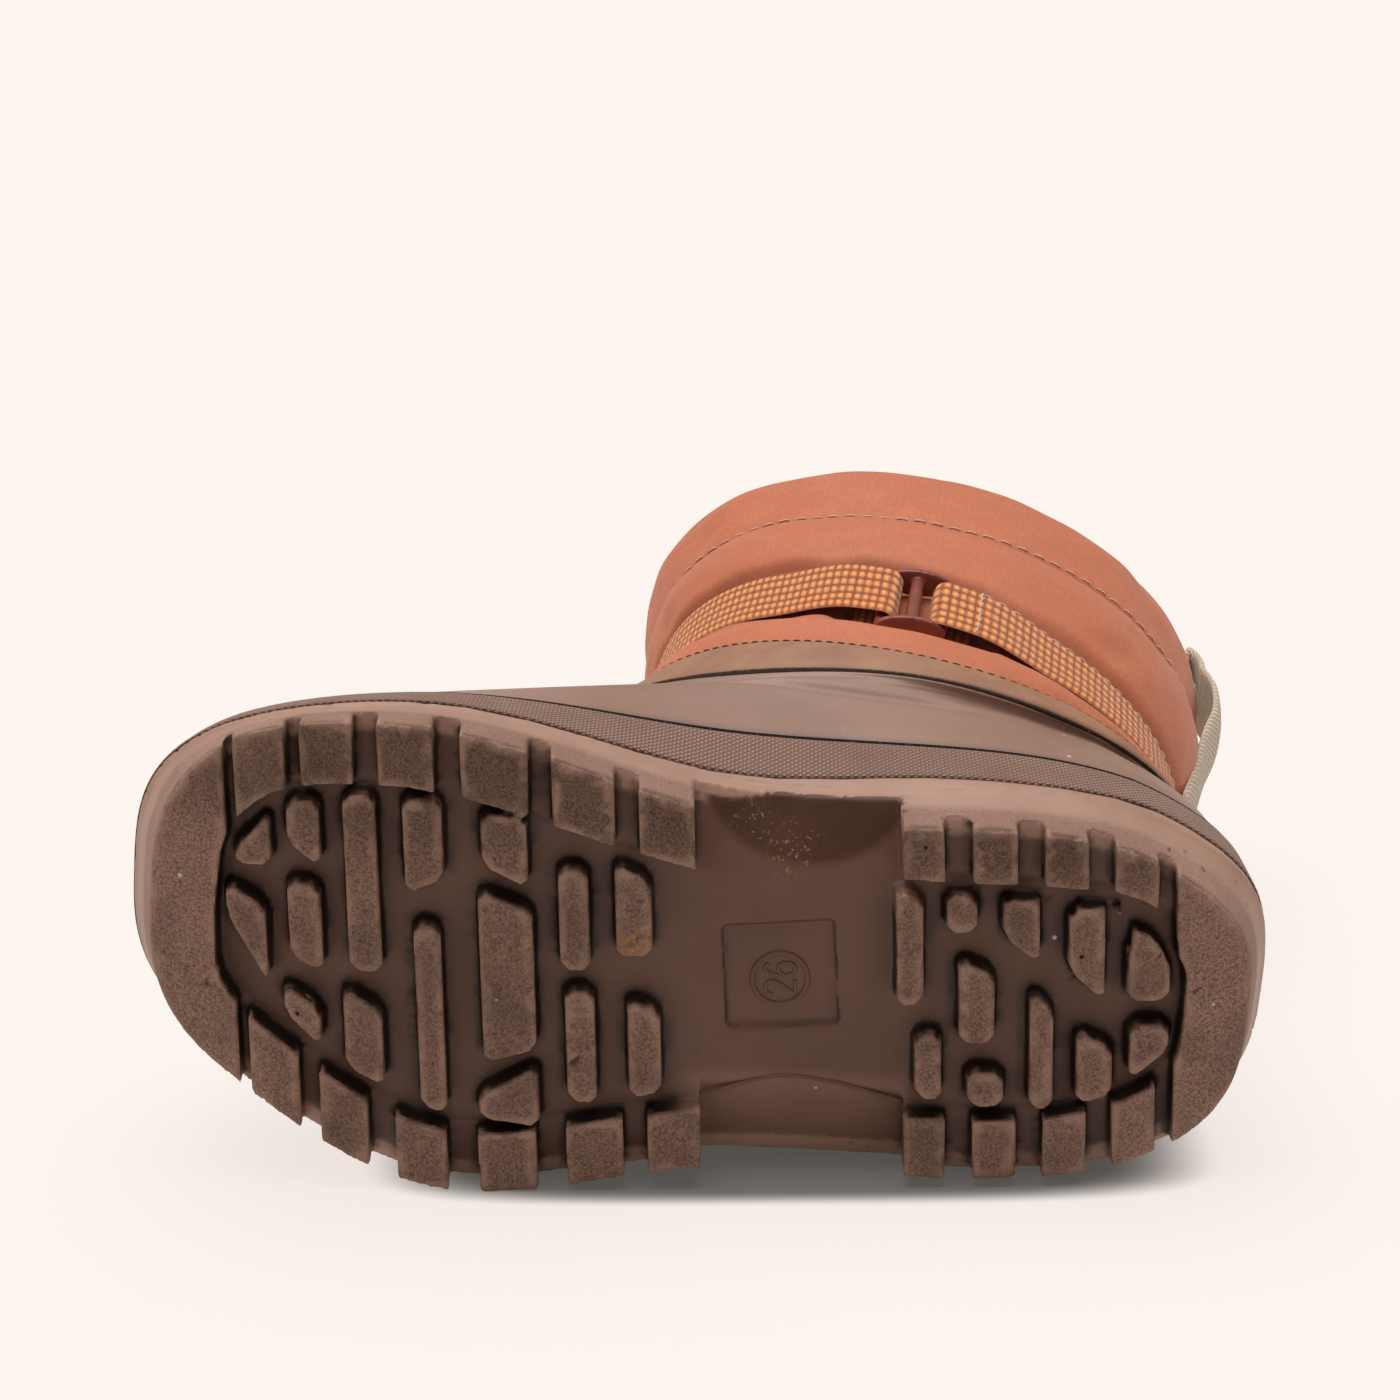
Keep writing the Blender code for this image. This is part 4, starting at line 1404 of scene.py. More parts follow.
        # shade: painted shade on the upper lugs, towards the inner side of the foot, which lies up
        shade = 0.9 * smooth(16, 30, y) * smooth(2.5, 1.0, height)
        return {"sand": np.maximum(face_on, 0.5 * outer * (1 - scoop)),
                "wall": np.maximum(wall, 0.5 * groove) * (1 - waist),
                "side": side, "scoop": scoop, "shade": shade, "pale": pale,
                "worn": np.clip(-bend / 0.09 - 0.22, 0, 1) * smooth(3.2, 1.8, height),
                "crevice_shade": covered * np.clip(bend / 0.10 - 0.2, 0, 1)}

    def side_rings(self, turn: Array) -> Array:
        """Outlines of the side at its edges' heights: tread, shoulder, line, foot and top of the band."""
        tread, shoulder, line, top = FORM.point(np.arange(4.0)[:, None], turn[None])
        foot = inset(line, -self.step) + np.array((0, 0, self.step))
        return np.stack((tread, shoulder, line, foot, top))

    def outline_at(self, spot: Array, count: int = 1500) -> tuple[Array, Array]:
        """Nearest point of the side's outline at each point's height, and how far away it is.

        Args:
            spot: Points in boot millimetres.
            count: Points round the outline.

        Returns:
            Nearest outline points in plan, and distances.
        """
        rings = self.side_rings(turns(count))
        height = spot[:, 2] - FORM.lift(spot[:, 0])
        flat = rings.copy()
        flat[..., 2] -= FORM.lift(flat[..., 0])
        place = np.interp(height, (0.0, 7.0, 13.0, 13.6, 29.0), np.arange(5.0))
        near = np.empty((len(spot), 2))
        for start in range(0, len(spot), 400):
            some = slice(start, start + 400)
            lower = np.clip(place[some].astype(int), 0, 3)
            share = (place[some] - lower)[:, None, None]
            ring = flat[lower, :, :2] * (1 - share) + flat[lower + 1, :, :2] * share
            best = np.linalg.norm(ring - spot[some, None, :2], axis=2).argmin(axis=1)
            near[some] = ring[np.arange(len(best)), best]
        return near, np.linalg.norm(near - spot[:, :2], axis=1)

    def refine(self, mesh: Mesh) -> None:
        """Cut the long edges of the outline finer and put their points on the true outline.

        Args:
            mesh: The sole's mesh, changed in place.
        """
        spot, ends = mesh_points(mesh), mesh_edges(mesh)
        away = self.outline_at(spot)[1]
        run = spot[ends[:, 1]] - spot[ends[:, 0]]
        length = np.linalg.norm(run, axis=1)
        cut = (away[ends] < 0.25).all(axis=1) & (length > 2.4) & (np.abs(run[:, 2]) < 0.45 * length)
        split_edges(mesh, cut, 3)
        spot = mesh_points(mesh)
        near, away = self.outline_at(spot)
        spot[:, :2] = np.where((away < 0.7)[:, None], near, spot[:, :2])
        mesh.vertices.foreach_set("co", POSE.world(spot).ravel())
        mesh.update()

    def build_tread(self) -> Piece:
        """The moulded sole itself, with rounded edges and its zones.

        Returns:
            The piece.
        """
        rough = cut_out(node_copy("outsole"), np.array(self.heel_gap), self.gap_from, self.field)
        self.refine(rough)
        mesh = even_skin(rough, self.voxel, self.thin)
        for _ in range(3):
            spot, ends = mesh_points(mesh), mesh_edges(mesh)
            tread = spot[:, 2] - FORM.lift(spot[:, 0]) < self.fine_below
            length = np.linalg.norm(spot[ends[:, 0]] - spot[ends[:, 1]], axis=1)
            split_edges(mesh, (length > self.longest) & tread[ends].all(axis=1), 1)
        world = POSE.world(mesh_points(mesh))
        world[:, 2] = np.maximum(world[:, 2], 0.0)
        mesh.vertices.foreach_set("co", world.ravel())
        for name, values in self.zones(mesh).items():
            give_values(mesh, name, values)
        return add_piece("sole", mesh, Slot.OUTSOLE, TreadRubber().build(), replaces="outsole")

    def band_edges(self, turn: Array) -> tuple[Array, Array]:
        """Lower and upper edge of the knurled band, as a share of the side's height, by turn.

        Args:
            turn: Turns.

        Returns:
            Lower and upper edge, one array each.
        """
        knots = np.array((0.0, 0.6, 0.95, 1.2, 1.35, 1.5, 1.75, 2.2, 2.7, math.pi))
        low = np.array((0.16, 0.16, 0.14, 0.20, 0.13, 0.04, 0.04, 0.04, 0.04, 0.04))
        folded = np.where(turn > math.pi, TAU - turn, turn)
        return hermite(knots, low, folded), np.full_like(turn, 0.955)

    def build_band(self) -> None:
        """Raised strip round the side of the sole that carries the knurled finish."""
        turn = turns(480)
        lower = inset(FORM.point(np.full_like(turn, Level.LINE), turn), -self.step)
        lower = lower + np.array((0, 0, self.step))
        upper = FORM.point(np.full_like(turn, Level.BAND_TOP), turn)
        low, high = self.band_edges(turn)
        share = np.linspace(0, 1, 14)[:, None]
        place = low + (high - low) * share
        face = lower * (1 - place[..., None]) + upper * place[..., None]
        out = unit(np.cross(upper - lower, np.roll(lower, -1, axis=0) - np.roll(lower, 1, axis=0)))
        border = smooth(0, 0.09, share) * smooth(0, 0.09, 1 - share)
        front = face + (0.18 + 0.25 * border)[..., None] * out[None]
        back = (face - 0.6 * out[None])[::-6]
        mesh = loop_surface(np.concatenate((front, back))).mesh("side_band")
        add_piece("side_band", mesh, Slot.OUTSOLE, KnurlRubber().build())

    def build_rim_shadow(self) -> None:
        """Painted shadow where the shell sits in the rim of the sole: a thin near-black bead along the rim.
        """
        turn = turns(480)
        rim = inset(FORM.point(np.full_like(turn, Level.BAND_TOP), turn), self.seam_in) - self.seam_up * DOWN
        mesh = bead(rim, -DOWN, self.seam_radius, True).mesh("rim_shadow_bead")
        # the near-black fuzzy finish paints the shadow in the gap
        add_piece("rim_shadow_bead", mesh, Slot.OUTSOLE, FuzzyEdge((0.014, 0.008, 0.006)).build())

    def build_rib(self, rubber: Material) -> None:
        """Low curved rib across the waist, a bead half sunk in it.

        Args:
            rubber: Finish of the tread.
        """
        x, y = curve(((95.0, -23.6), (86.0, -19.8), (78.5, -17.9), (69.0, -18.9), (58.5, -21.5)), 48)
        path = np.stack((x, y, np.full_like(x, self.rib_height)), axis=1)
        mesh = bead(path, DOWN, self.rib_radius, False).mesh("waist_rib")
        add_piece("waist_rib", mesh, Slot.OUTSOLE, rubber)

    def build_mark(self, rubber: Material) -> None:
        """Raised ring with the size numeral, read up the sole with the digits' tops towards the toe.

        Args:
            rubber: Finish of the tread.
        """
        tilt = math.radians(self.mark_tilt_deg)
        top = np.array((math.cos(tilt), math.sin(tilt), 0.0))
        read = np.array((-math.sin(tilt), math.cos(tilt), 0.0))
        middle = np.array((*self.mark_at, self.mark_height))
        turn = turns(72)[:, None]
        ring = middle + self.ring_radius * (np.cos(turn) * top + np.sin(turn) * read)
        two = ((0.05, 3.7), (0.35, 4.7), (1.3, 5.1), (2.3, 4.65), (2.5, 3.7), (2.0, 2.6),
               (1.0, 1.25), (0.0, 0.05))
        six = ((2.4, 4.5), (1.8, 5.05), (1.1, 4.9), (0.45, 4.0), (0.1, 2.5), (0.15, 1.1), (0.7, 0.2),
               (1.4, 0.0), (2.2, 0.4), (2.5, 1.4), (2.2, 2.4), (1.4, 2.85), (0.6, 2.5), (0.15, 1.6))
        strokes = {"mark_two": (two, -3.0), "mark_two_foot": (((0.0, 0.0), (1.3, 0.0), (2.6, 0.0)), -3.0),
                   "mark_six": (six, 0.4)}
        surfaces = {"mark_ring": bead(ring, DOWN, self.ring_bead, True)}
        for name, (knots, start) in strokes.items():
            width, tall = curve(knots, 12 * len(knots))
            path = middle + (width[:, None] + start) * read + (tall[:, None] - self.digit_tall / 2) * top
            surfaces[name] = bead(path, DOWN, self.digit_bead, False)
        for name, surface in surfaces.items():
            mesh = surface.mesh(name)
            for zone in ZONES:
                give_values(mesh, zone, np.zeros(len(mesh.vertices)))
            add_piece(name, mesh, Slot.OUTSOLE, rubber)

    def build(self) -> None:
        """Make the sole's pieces."""
        tread = self.build_tread()
        self.build_band()
        self.build_rim_shadow()
        self.build_mark(tread.data.materials[0])
        self.build_rib(tread.data.materials[0])


@dataclass
class Footbed:
    """Removable footbed in the cup of the sole, dished under the heel.

    Attributes:
        inset_mm: Distance in from the side of the sole.
        base: Height of its underside.
        thickness: Thickness at the edge.
        dish: How much lower its middle is at the heel.
    """
    inset_mm: float = 5.9
    base: float = 11.8
    thickness: float = 3.5
    dish: float = 1.2

    def build(self) -> None:
        """Closed pad: rings of the sole's outline drawn in towards a middle line, underside, edge and top.

        A ring at share r lies at middle + r (edge - middle), and the top dips by dish (1 - r^2) at the heel.
        """
        turn = turns(160)
        edge = inset(FORM.point(np.full_like(turn, Level.LINE), turn), self.inset_mm)
        spine = edge.copy()
        spine[:, 0] = np.clip(edge[:, 0], 32, 150)
        spine[:, 1] = np.interp(spine[:, 0], (32, 150), (-0.5, 2.5))
        rise = FORM.lift(edge[:, 0])
        rows = []
        for share, drop in ((0.02, 1.0), (0.5, 1.0), (0.97, 1.0), (1.0, 0.75), (1.0, 0.3),
                            (0.985, 0.05), (0.95, 0.0), (0.85, 0.0), (0.7, 0.0),
                            (0.5, 0.0), (0.3, 0.0), (0.12, 0.0), (0.02, 0.0)):
            ring = spine + share * (edge - spine)
            heel = self.dish * (1 - share ** 2) * smooth(75, 45, ring[:, 0]) * (drop == 0)
            ring[:, 2] = self.base + self.thickness * (1 - drop) - heel + rise * share
            rows.append(ring)
        mesh = sweep_surface(np.array(rows)).mesh("footbed")
        add_piece("footbed", mesh, Slot.INSOLE, Fleece((0.42, 0.34, 0.26)).build(), replaces="insole")


@dataclass
class RubberShell:
    """Moulded shell round the foot.

    Attributes:
        wall: Thickness.
        seam_inset: How far its foot stands in from the edge of the sole.
        folds: Moulded lines and soft creases, in the boot's levels and turns.
    """
    wall: float = 2.2
    seam_inset: float = 1.5
    folds: tuple[Fold, ...] = (
        Fold(((7.45, 2.25), (6.6, 1.95), (5.75, 1.62), (5.2, 1.40), (5.05, 1.2), (5.0, 0.98)), -0.75, 1.15),
        Fold(((7.75, 2.25), (7.0, 1.95), (6.2, 1.62), (5.65, 1.40), (5.5, 1.2), (5.4, 0.98)), 0.40, 2.6),
        Fold(((7.45, TAU - 2.25), (6.6, TAU - 1.95), (5.75, TAU - 1.62), (5.2, TAU - 1.40),
              (5.0, TAU - 0.98)), -0.7, 1.6),
        Fold(((7.5, 2.75), (7.2, 2.95), (7.15, math.pi), (7.2, TAU - 2.95), (7.5, TAU - 2.75)), -0.7, 4.5),
        Fold(((6.6, 2.6), (6.3, 2.9), (6.25, math.pi), (6.3, TAU - 2.9), (6.6, TAU - 2.6)), -0.45, 5.5),
        Fold(((4.6, 0.35), (4.9, 0.7), (5.6, 1.0)), -0.35, 5.0),
        Fold(((6.9, 0.25), (6.6, 0.55), (6.2, 0.8)), -0.4, 4.0),
    )

    def build(self) -> None:
        """Wall between the surface and a copy moved in, from the sole's rim to the joint under the trim."""
        turn = turns(420)
        rim = FORM.point(np.full_like(turn, Level.BAND_TOP), turn)
        raise_up = np.array((0.0, 0.0, 0.3))
        levels = np.concatenate((np.linspace(Level.LOW, 8.0, 66), np.linspace(8.06, Level.JOINT, 8)))
        flat = FORM.point(levels[:, None], turn[None])
        lip = 0.5 * bell(levels - 7.82, 0.16)[:, None]
        out = pressed(flat, self.folds) + lip
        outer = flat + out[..., None] * FORM.normal(levels[:, None], turn[None])
        foot = inset(rim, self.seam_inset) + raise_up
        ease = np.linspace(0, 1, 7)[:-1, None, None]
        bulge = 0.55 * np.sin(math.pi * np.sqrt(ease))
        side = unit(inset(rim, -1.0) - rim)
        low = foot * (1 - ease) + outer[0] * ease + bulge * side
        inner_levels = np.linspace(Level.JOINT, Level.LOW, 14)
        inner = FORM.shell(inner_levels[:, None], turn[None], np.full((14, len(turn)), -self.wall))
        inner_foot = inset(rim, self.seam_inset + self.wall - 0.3) + raise_up
        points = np.concatenate((low, outer, inner, inner_foot[None]))
        mesh = loop_surface(points).mesh("shell")
        height = np.concatenate((np.linspace(0, 1, len(low)), np.full(len(points) - len(low), 2.0)))
        # seam: where painted shadow darkens the shell's foot, most at its lowest row
        give_values(mesh, "seam", np.repeat(smooth(0.55, 0.0, height), len(turn)))
        add_piece("shell", mesh, Slot.UPPER, ShellRubber().build(), Fleece().build(), replaces="upper")
        line_inside(mesh, len(points), len(low) + len(levels))


@dataclass
class Trim:
    """Binding strip on the joint of shell and shaft, its felt edge and its stitches.

    Attributes:
        gap: Distance from the shell.
        thickness: Thickness of the strip.
        start: Level of its lower edge.
        end: Level of its upper edge.
        row: Level of its stitches.
    """
    gap: float = 0.2
    thickness: float = 0.85
    start: float = 8.1
    end: float = 10.0
    row: float = 9.80

    def build_strip(self) -> None:
        """Closed band; at share s of its width the thickness falls as 1 - 0.75 |s|^8, over a low crown."""
        turn = turns(420)
        levels = np.linspace(self.start, self.end, 26)
        share = np.linspace(-1, 1, 26)
        press = -0.35 * bell(levels - self.row, 0.05)
        swell = self.gap + self.thickness * (1 - 0.75 * np.abs(share) ** 8) + press
        swell = swell + 0.18 * (1 - share ** 2)
        wave = 0.12 * Ripple(5).at(levels[:, None], turn[None])
        outer = FORM.shell(levels[:, None], turn[None], swell[:, None] + wave)
        back = levels[::-5]
        inner = FORM.shell(back[:, None], turn[None], np.full((len(back), len(turn)), self.gap * 0.5))
        points = np.concatenate((outer, inner))
        mesh = loop_surface(points).mesh("trim_strip")
        edge = np.concatenate((np.maximum(smooth(0.93, 1.0, share), smooth(-0.95, -1.0, share)),
                               np.ones(len(back))))
        give_values(mesh, "edge", np.repeat(edge, len(turn)))
        add_piece("trim_strip", mesh, Slot.TRIM, TrimStrip().build(), replaces="trim")

    def build_edge(self) -> None:
        """Felt edge that shows below the strip, a band with a ragged half-round section."""
        turn = turns(700)
        levels = np.linspace(7.83, 8.16, 9)
        share = np.linspace(-1, 1, 9)
        ragged = np.random.default_rng(11).uniform(-0.09, 0.09, (9, 700))
        rise = 0.25 + 0.5 * np.sqrt(np.clip(1 - share ** 2, 0, 1))[:, None] + ragged
        outer = FORM.shell(levels[:, None], turn[None], rise)
        inner = FORM.shell(levels[::-4][:, None], turn[None], np.full((3, 700), 0.02))
        mesh = loop_surface(np.concatenate((outer, inner))).mesh("felt_edge")
        add_piece("felt_edge", mesh, Slot.TRIM, FuzzyEdge().build())

    def build_stitches(self) -> None:
        """Dark stitches along the upper edge of the strip."""
        mesh = stitch_ring("trim_stitches", self.row, self.gap + self.thickness - 0.10, 2.1, 1.5, 0.15)
        add_piece("trim_stitches", mesh, Slot.TRIM, Thread("dark thread", (0.060, 0.035, 0.024)).build())

    def build(self) -> None:
        """Make the trim's pieces."""
        self.build_strip()
        self.build_edge()
        self.build_stitches()


@dataclass
class PaddedLeg:
    """Padded nylon shaft with a strap tunnel, a quilted collar and a pile lining.

    Attributes:
        wall: Thickness of the padding.
        fill: How full the padding is, from 0 to 1; not used.
        floor_gap: Least height above the floor, where the soft side lies on it.
        floor_ease: Softness of that limit, in metres.
        pitch: Distance of the collar's stitches and puckers.
        crease_depth: Depth of the crease above the strap.
        seam_depth: Depth of the collar seam.
        strap_press: How far the strap presses the padding in.
        catch_press: How much further the catch does.
        sunk: Distance of the whole outside in from the surface.
        pile_from: Row of the collar's crown where the lining starts.
        folds: Creases of the cloth, in the boot's levels and turns.
    """
    wall: float = 3.0
    fill: float = 0.55
    floor_gap: float = 0.25
    floor_ease: float = 0.00012
    pitch: float = 3.4
    crease_depth: float = 1.5
    seam_depth: float = 1.0
    strap_press: float = 1.2
    catch_press: float = 2.1
    sunk: float = 0.25
    pile_from: int = 5
    folds: tuple[Fold, ...] = (
        Fold(((11.0, 2.55), (11.6, 2.3), (11.9, 2.0)), -0.8, 2.6),
        Fold(((10.9, 2.9), (11.7, 3.05), (12.0, 3.3)), -0.9, 2.8),
        Fold(((11.0, 0.5), (11.5, 0.8), (11.8, 1.2)), -0.6, 2.4),
        Fold(((13.2, 1.9), (13.8, 2.0), (14.4, 2.25)), -0.45, 4.0),
        Fold(((13.2, 0.9), (13.9, 0.75), (14.5, 0.8)), -0.55, 3.6),
        Fold(((13.15, 2.75), (13.8, 2.9), (14.5, 2.85)), -0.6, 3.6),
        Fold(((15.1, 2.5), (15.8, 2.62), (16.5, 2.6)), -0.5, 4.5),
        Fold(((15.1, 0.55), (15.7, 0.7), (16.4, 0.62)), -0.5, 4.5),
        Fold(((13.3, 4.0), (14.0, 4.25), (14.6, 4.2)), -0.6, 4.0),
        Fold(((13.3, 5.3), (14.0, 5.1), (14.6, 5.2)), -0.6, 4.0),
        Fold(((15.2, 4.9), (15.9, 4.7), (16.6, 4.8)), -0.5, 5.0),
    )

    def swell(self, level: Array, turn: Array) -> tuple[Array, Array]:
        """How far the padding stands out of the surface, and how deep in a seam each point is, for painted
        shade.

        Rolls rise between the seams as half sines; the tunnel crease above the strap and the collar seam
        are bells pressed in, with small puckers along the seam; seeded ripples lie over all.

        Args:
            level: Levels, any shape.
            turn: Turns that broadcast with the levels.

        Returns:
            Distances out, and depths in a seam from 0 to 1 that set painted shade.
        """
        tunnel = Level.STRAP_HIGH + 0.13
        rolls = ((2.2, tunnel, Level.SEAM, 0.55), (1.7, Level.SEAM, 17.5, 0.6), (1.6, 9.6, 12.05, 0.6))
        roll, collar, low = (size * np.sin(math.pi * np.clip((level - start) / (end - start), 0, 1)) ** power
                             for size, start, end, power in rolls)
        crease = bell(level - tunnel, 0.09)
        seam = bell(level - Level.SEAM, 0.06)
        run = even_turns(float(Level.SEAM), self.pitch)
        pucker = np.cos(TAU * np.interp(turn, run, np.arange(len(run), dtype=float)))
        out = roll + collar + low - self.crease_depth * crease - self.seam_depth * seam
        out += 0.16 * pucker * bell(level - Level.SEAM, 0.16) * (1 - seam)
        out += 0.55 * Ripple(3).at(level, turn) + 0.4 * Ripple(8, 12).at(2.3 * level, 2 * turn)
        under_strap = window((11.9, 12.05), (12.95, 13.12), level)
        out = out * (1 - under_strap) - self.strap_press * under_strap
        return out - self.sunk, np.maximum(crease * 0.8, seam)

    def dent(self, level: Array, turn: Array) -> Array:
        """Hollow that the catch and the folded strap ends press into the padding.

        Args:
            level: Levels, any shape.
            turn: Turns that broadcast with the levels.

        Returns:
            Distances out, below nothing.
        """
        share, away = LINE.reach(level, turn)
        along = 1 - smooth(11.0, 17.5, away)
        across = smooth(-0.9, -0.25, share) * (1 - smooth(1.04, 1.35, share))
        return -self.catch_press * along * across

    def build_leg(self) -> None:
        """Closed wall: outside with its padding, rounded collar, lining inside."""
        turn = turns(480)
        levels = np.concatenate((np.linspace(Level.JOINT + 0.05, 12.9, 44),
                                 np.linspace(12.93, Level.TOP, 86)))
        grid, around = np.meshgrid(levels, turn, indexing="ij")
        flat = FORM.point(grid, around)
        out, seam = self.swell(grid, around)
        ease = smooth(Level.JOINT, 9.9, grid)
        out = (out + pressed(flat, self.folds)) * ease + self.dent(grid, around)
        normal = FORM.normal(grid, around)
        outer = flat + out[..., None] * normal
        crown = np.linspace(0, math.pi, 9)[1:-1, None, None]
        half = self.wall / 2
        rim = flat[-1] + normal[-1] * (out[-1][:, None] - half)
        top = rim + np.cos(crown) * half * normal[-1] + np.sin(crown) * np.array((0, 0, 1.5))
        inner_levels = np.linspace(Level.TOP, Level.JOINT + 0.05, 40)
        nap = 0.3 * Ripple(21, 14).at(3 * inner_levels[:, None], 3 * turn[None])
        hollow = self.dent(inner_levels[:, None], turn[None])
        inner = FORM.shell(inner_levels[:, None], turn[None], -self.wall + nap + hollow)
        points = np.concatenate((outer, top, inner))
        world = POSE.world(points.reshape(-1, 3))
        floor = self.floor_gap * MM
        lifted = floor + np.logaddexp(0, (world[:, 2] - floor) / self.floor_ease) * self.floor_ease
        world[:, 2] = np.where(world[:, 2] < 0.002, lifted, world[:, 2])
        points = POSE.boot(world).reshape(points.shape)
        mesh = loop_surface(points).mesh("padded_leg")
        # crease: painted shade in the collar seam and the crease above the strap
        give_values(mesh, "crease", np.concatenate((seam, np.zeros((len(points) - len(seam), len(turn))))))
        piece = add_piece("padded_leg", mesh, Slot.SHAFT, CrinkledNylon().build(), Fleece().build(),
                          replaces="shaft")
        line_inside(mesh, len(points), len(levels) + self.pile_from)

    def build_stitches(self) -> None:
        """Pale stitches along the collar seam, on the padding as it is swelled."""
        row = Level.SEAM + 0.10
        at = even_turns(row, self.pitch)
        level = np.full_like(at, row)
        out = self.swell(level, at)[0] + pressed(FORM.point(level, at), self.folds)
        mesh = stitch_ring("collar_stitches", row, out, self.pitch, 2.5, 0.19)
        add_piece("collar_stitches", mesh, Slot.SHAFT, Thread("collar thread", (0.78, 0.56, 0.45)).build())

    def build(self) -> None:
        """Make the leg's pieces."""
        self.build_leg()
        self.build_stitches()


class StrapLine:
    """The strap's own measure on the leg: share of width, distance along from the buckle, distance out."""

    def __init__(self, at: float = 0.53, slant: float = 0.22) -> None:
        """Measure the leg along the middle of the strap.

        Args:
            at: Place of the catch between the back and the front, from 0 to 1.
            slant: Lean of the cross lines, from the leg's own lines (0) to square with the strap's run (1).
        """
        middle = (Level.STRAP_LOW + Level.STRAP_HIGH) / 2
        start = math.acos(1 - 2 * at)
        self.turn = start + np.linspace(-0.5, TAU + 0.5, 961)
        run = arc_mm(FORM.point(np.full(961, middle), self.turn)[:, None], 0, False)
        first, last = np.interp((start, start + TAU), self.turn, run)
        self.run = run - first
        self.length = float(last - first)
        ahead = unit(FORM.point(middle, start + 0.01) - FORM.point(middle, start - 0.01))
        rise = FORM.point(float(Level.STRAP_HIGH), start) - FORM.point(float(Level.STRAP_LOW), start)
        self.slip = -slant * float(rise @ ahead)

    def point(self, share: Array, distance: Array, out: Array) -> Array:
        """Points on the strap; the slip keeps its cross lines square to its run at the buckle.

        Args:
            share: Share of the strap's width, from its lower edge.
            distance: Distance along from the catch.
            out: Distance out of the leg.

        Returns:
            Points in boot millimetres.
        """
        share, distance, out = np.broadcast_arrays(share, distance, out)
        level = Level.STRAP_LOW + share * (Level.STRAP_HIGH - Level.STRAP_LOW)
        at = np.interp(distance + self.slip * (share - 0.5), self.run, self.turn)
        return FORM.shell(level, at, out)

    def reach(self, level: Array, turn: Array) -> tuple[Array, Array]:
        """Share of the strap's width and distance from the catch of points of the leg.

        Args:
            level: Levels, any shape.
            turn: Turns that broadcast with the levels.

        Returns:
            Shares, and distances along.
        """
        share = level - Level.STRAP_LOW
        run = np.interp(np.where(turn < self.turn[0], turn + TAU, turn), self.turn, self.run)
        slip = self.slip * (share - 0.5)
        return share, np.minimum(np.abs(run - slip), np.abs(run - self.length - slip))


LINE = StrapLine()


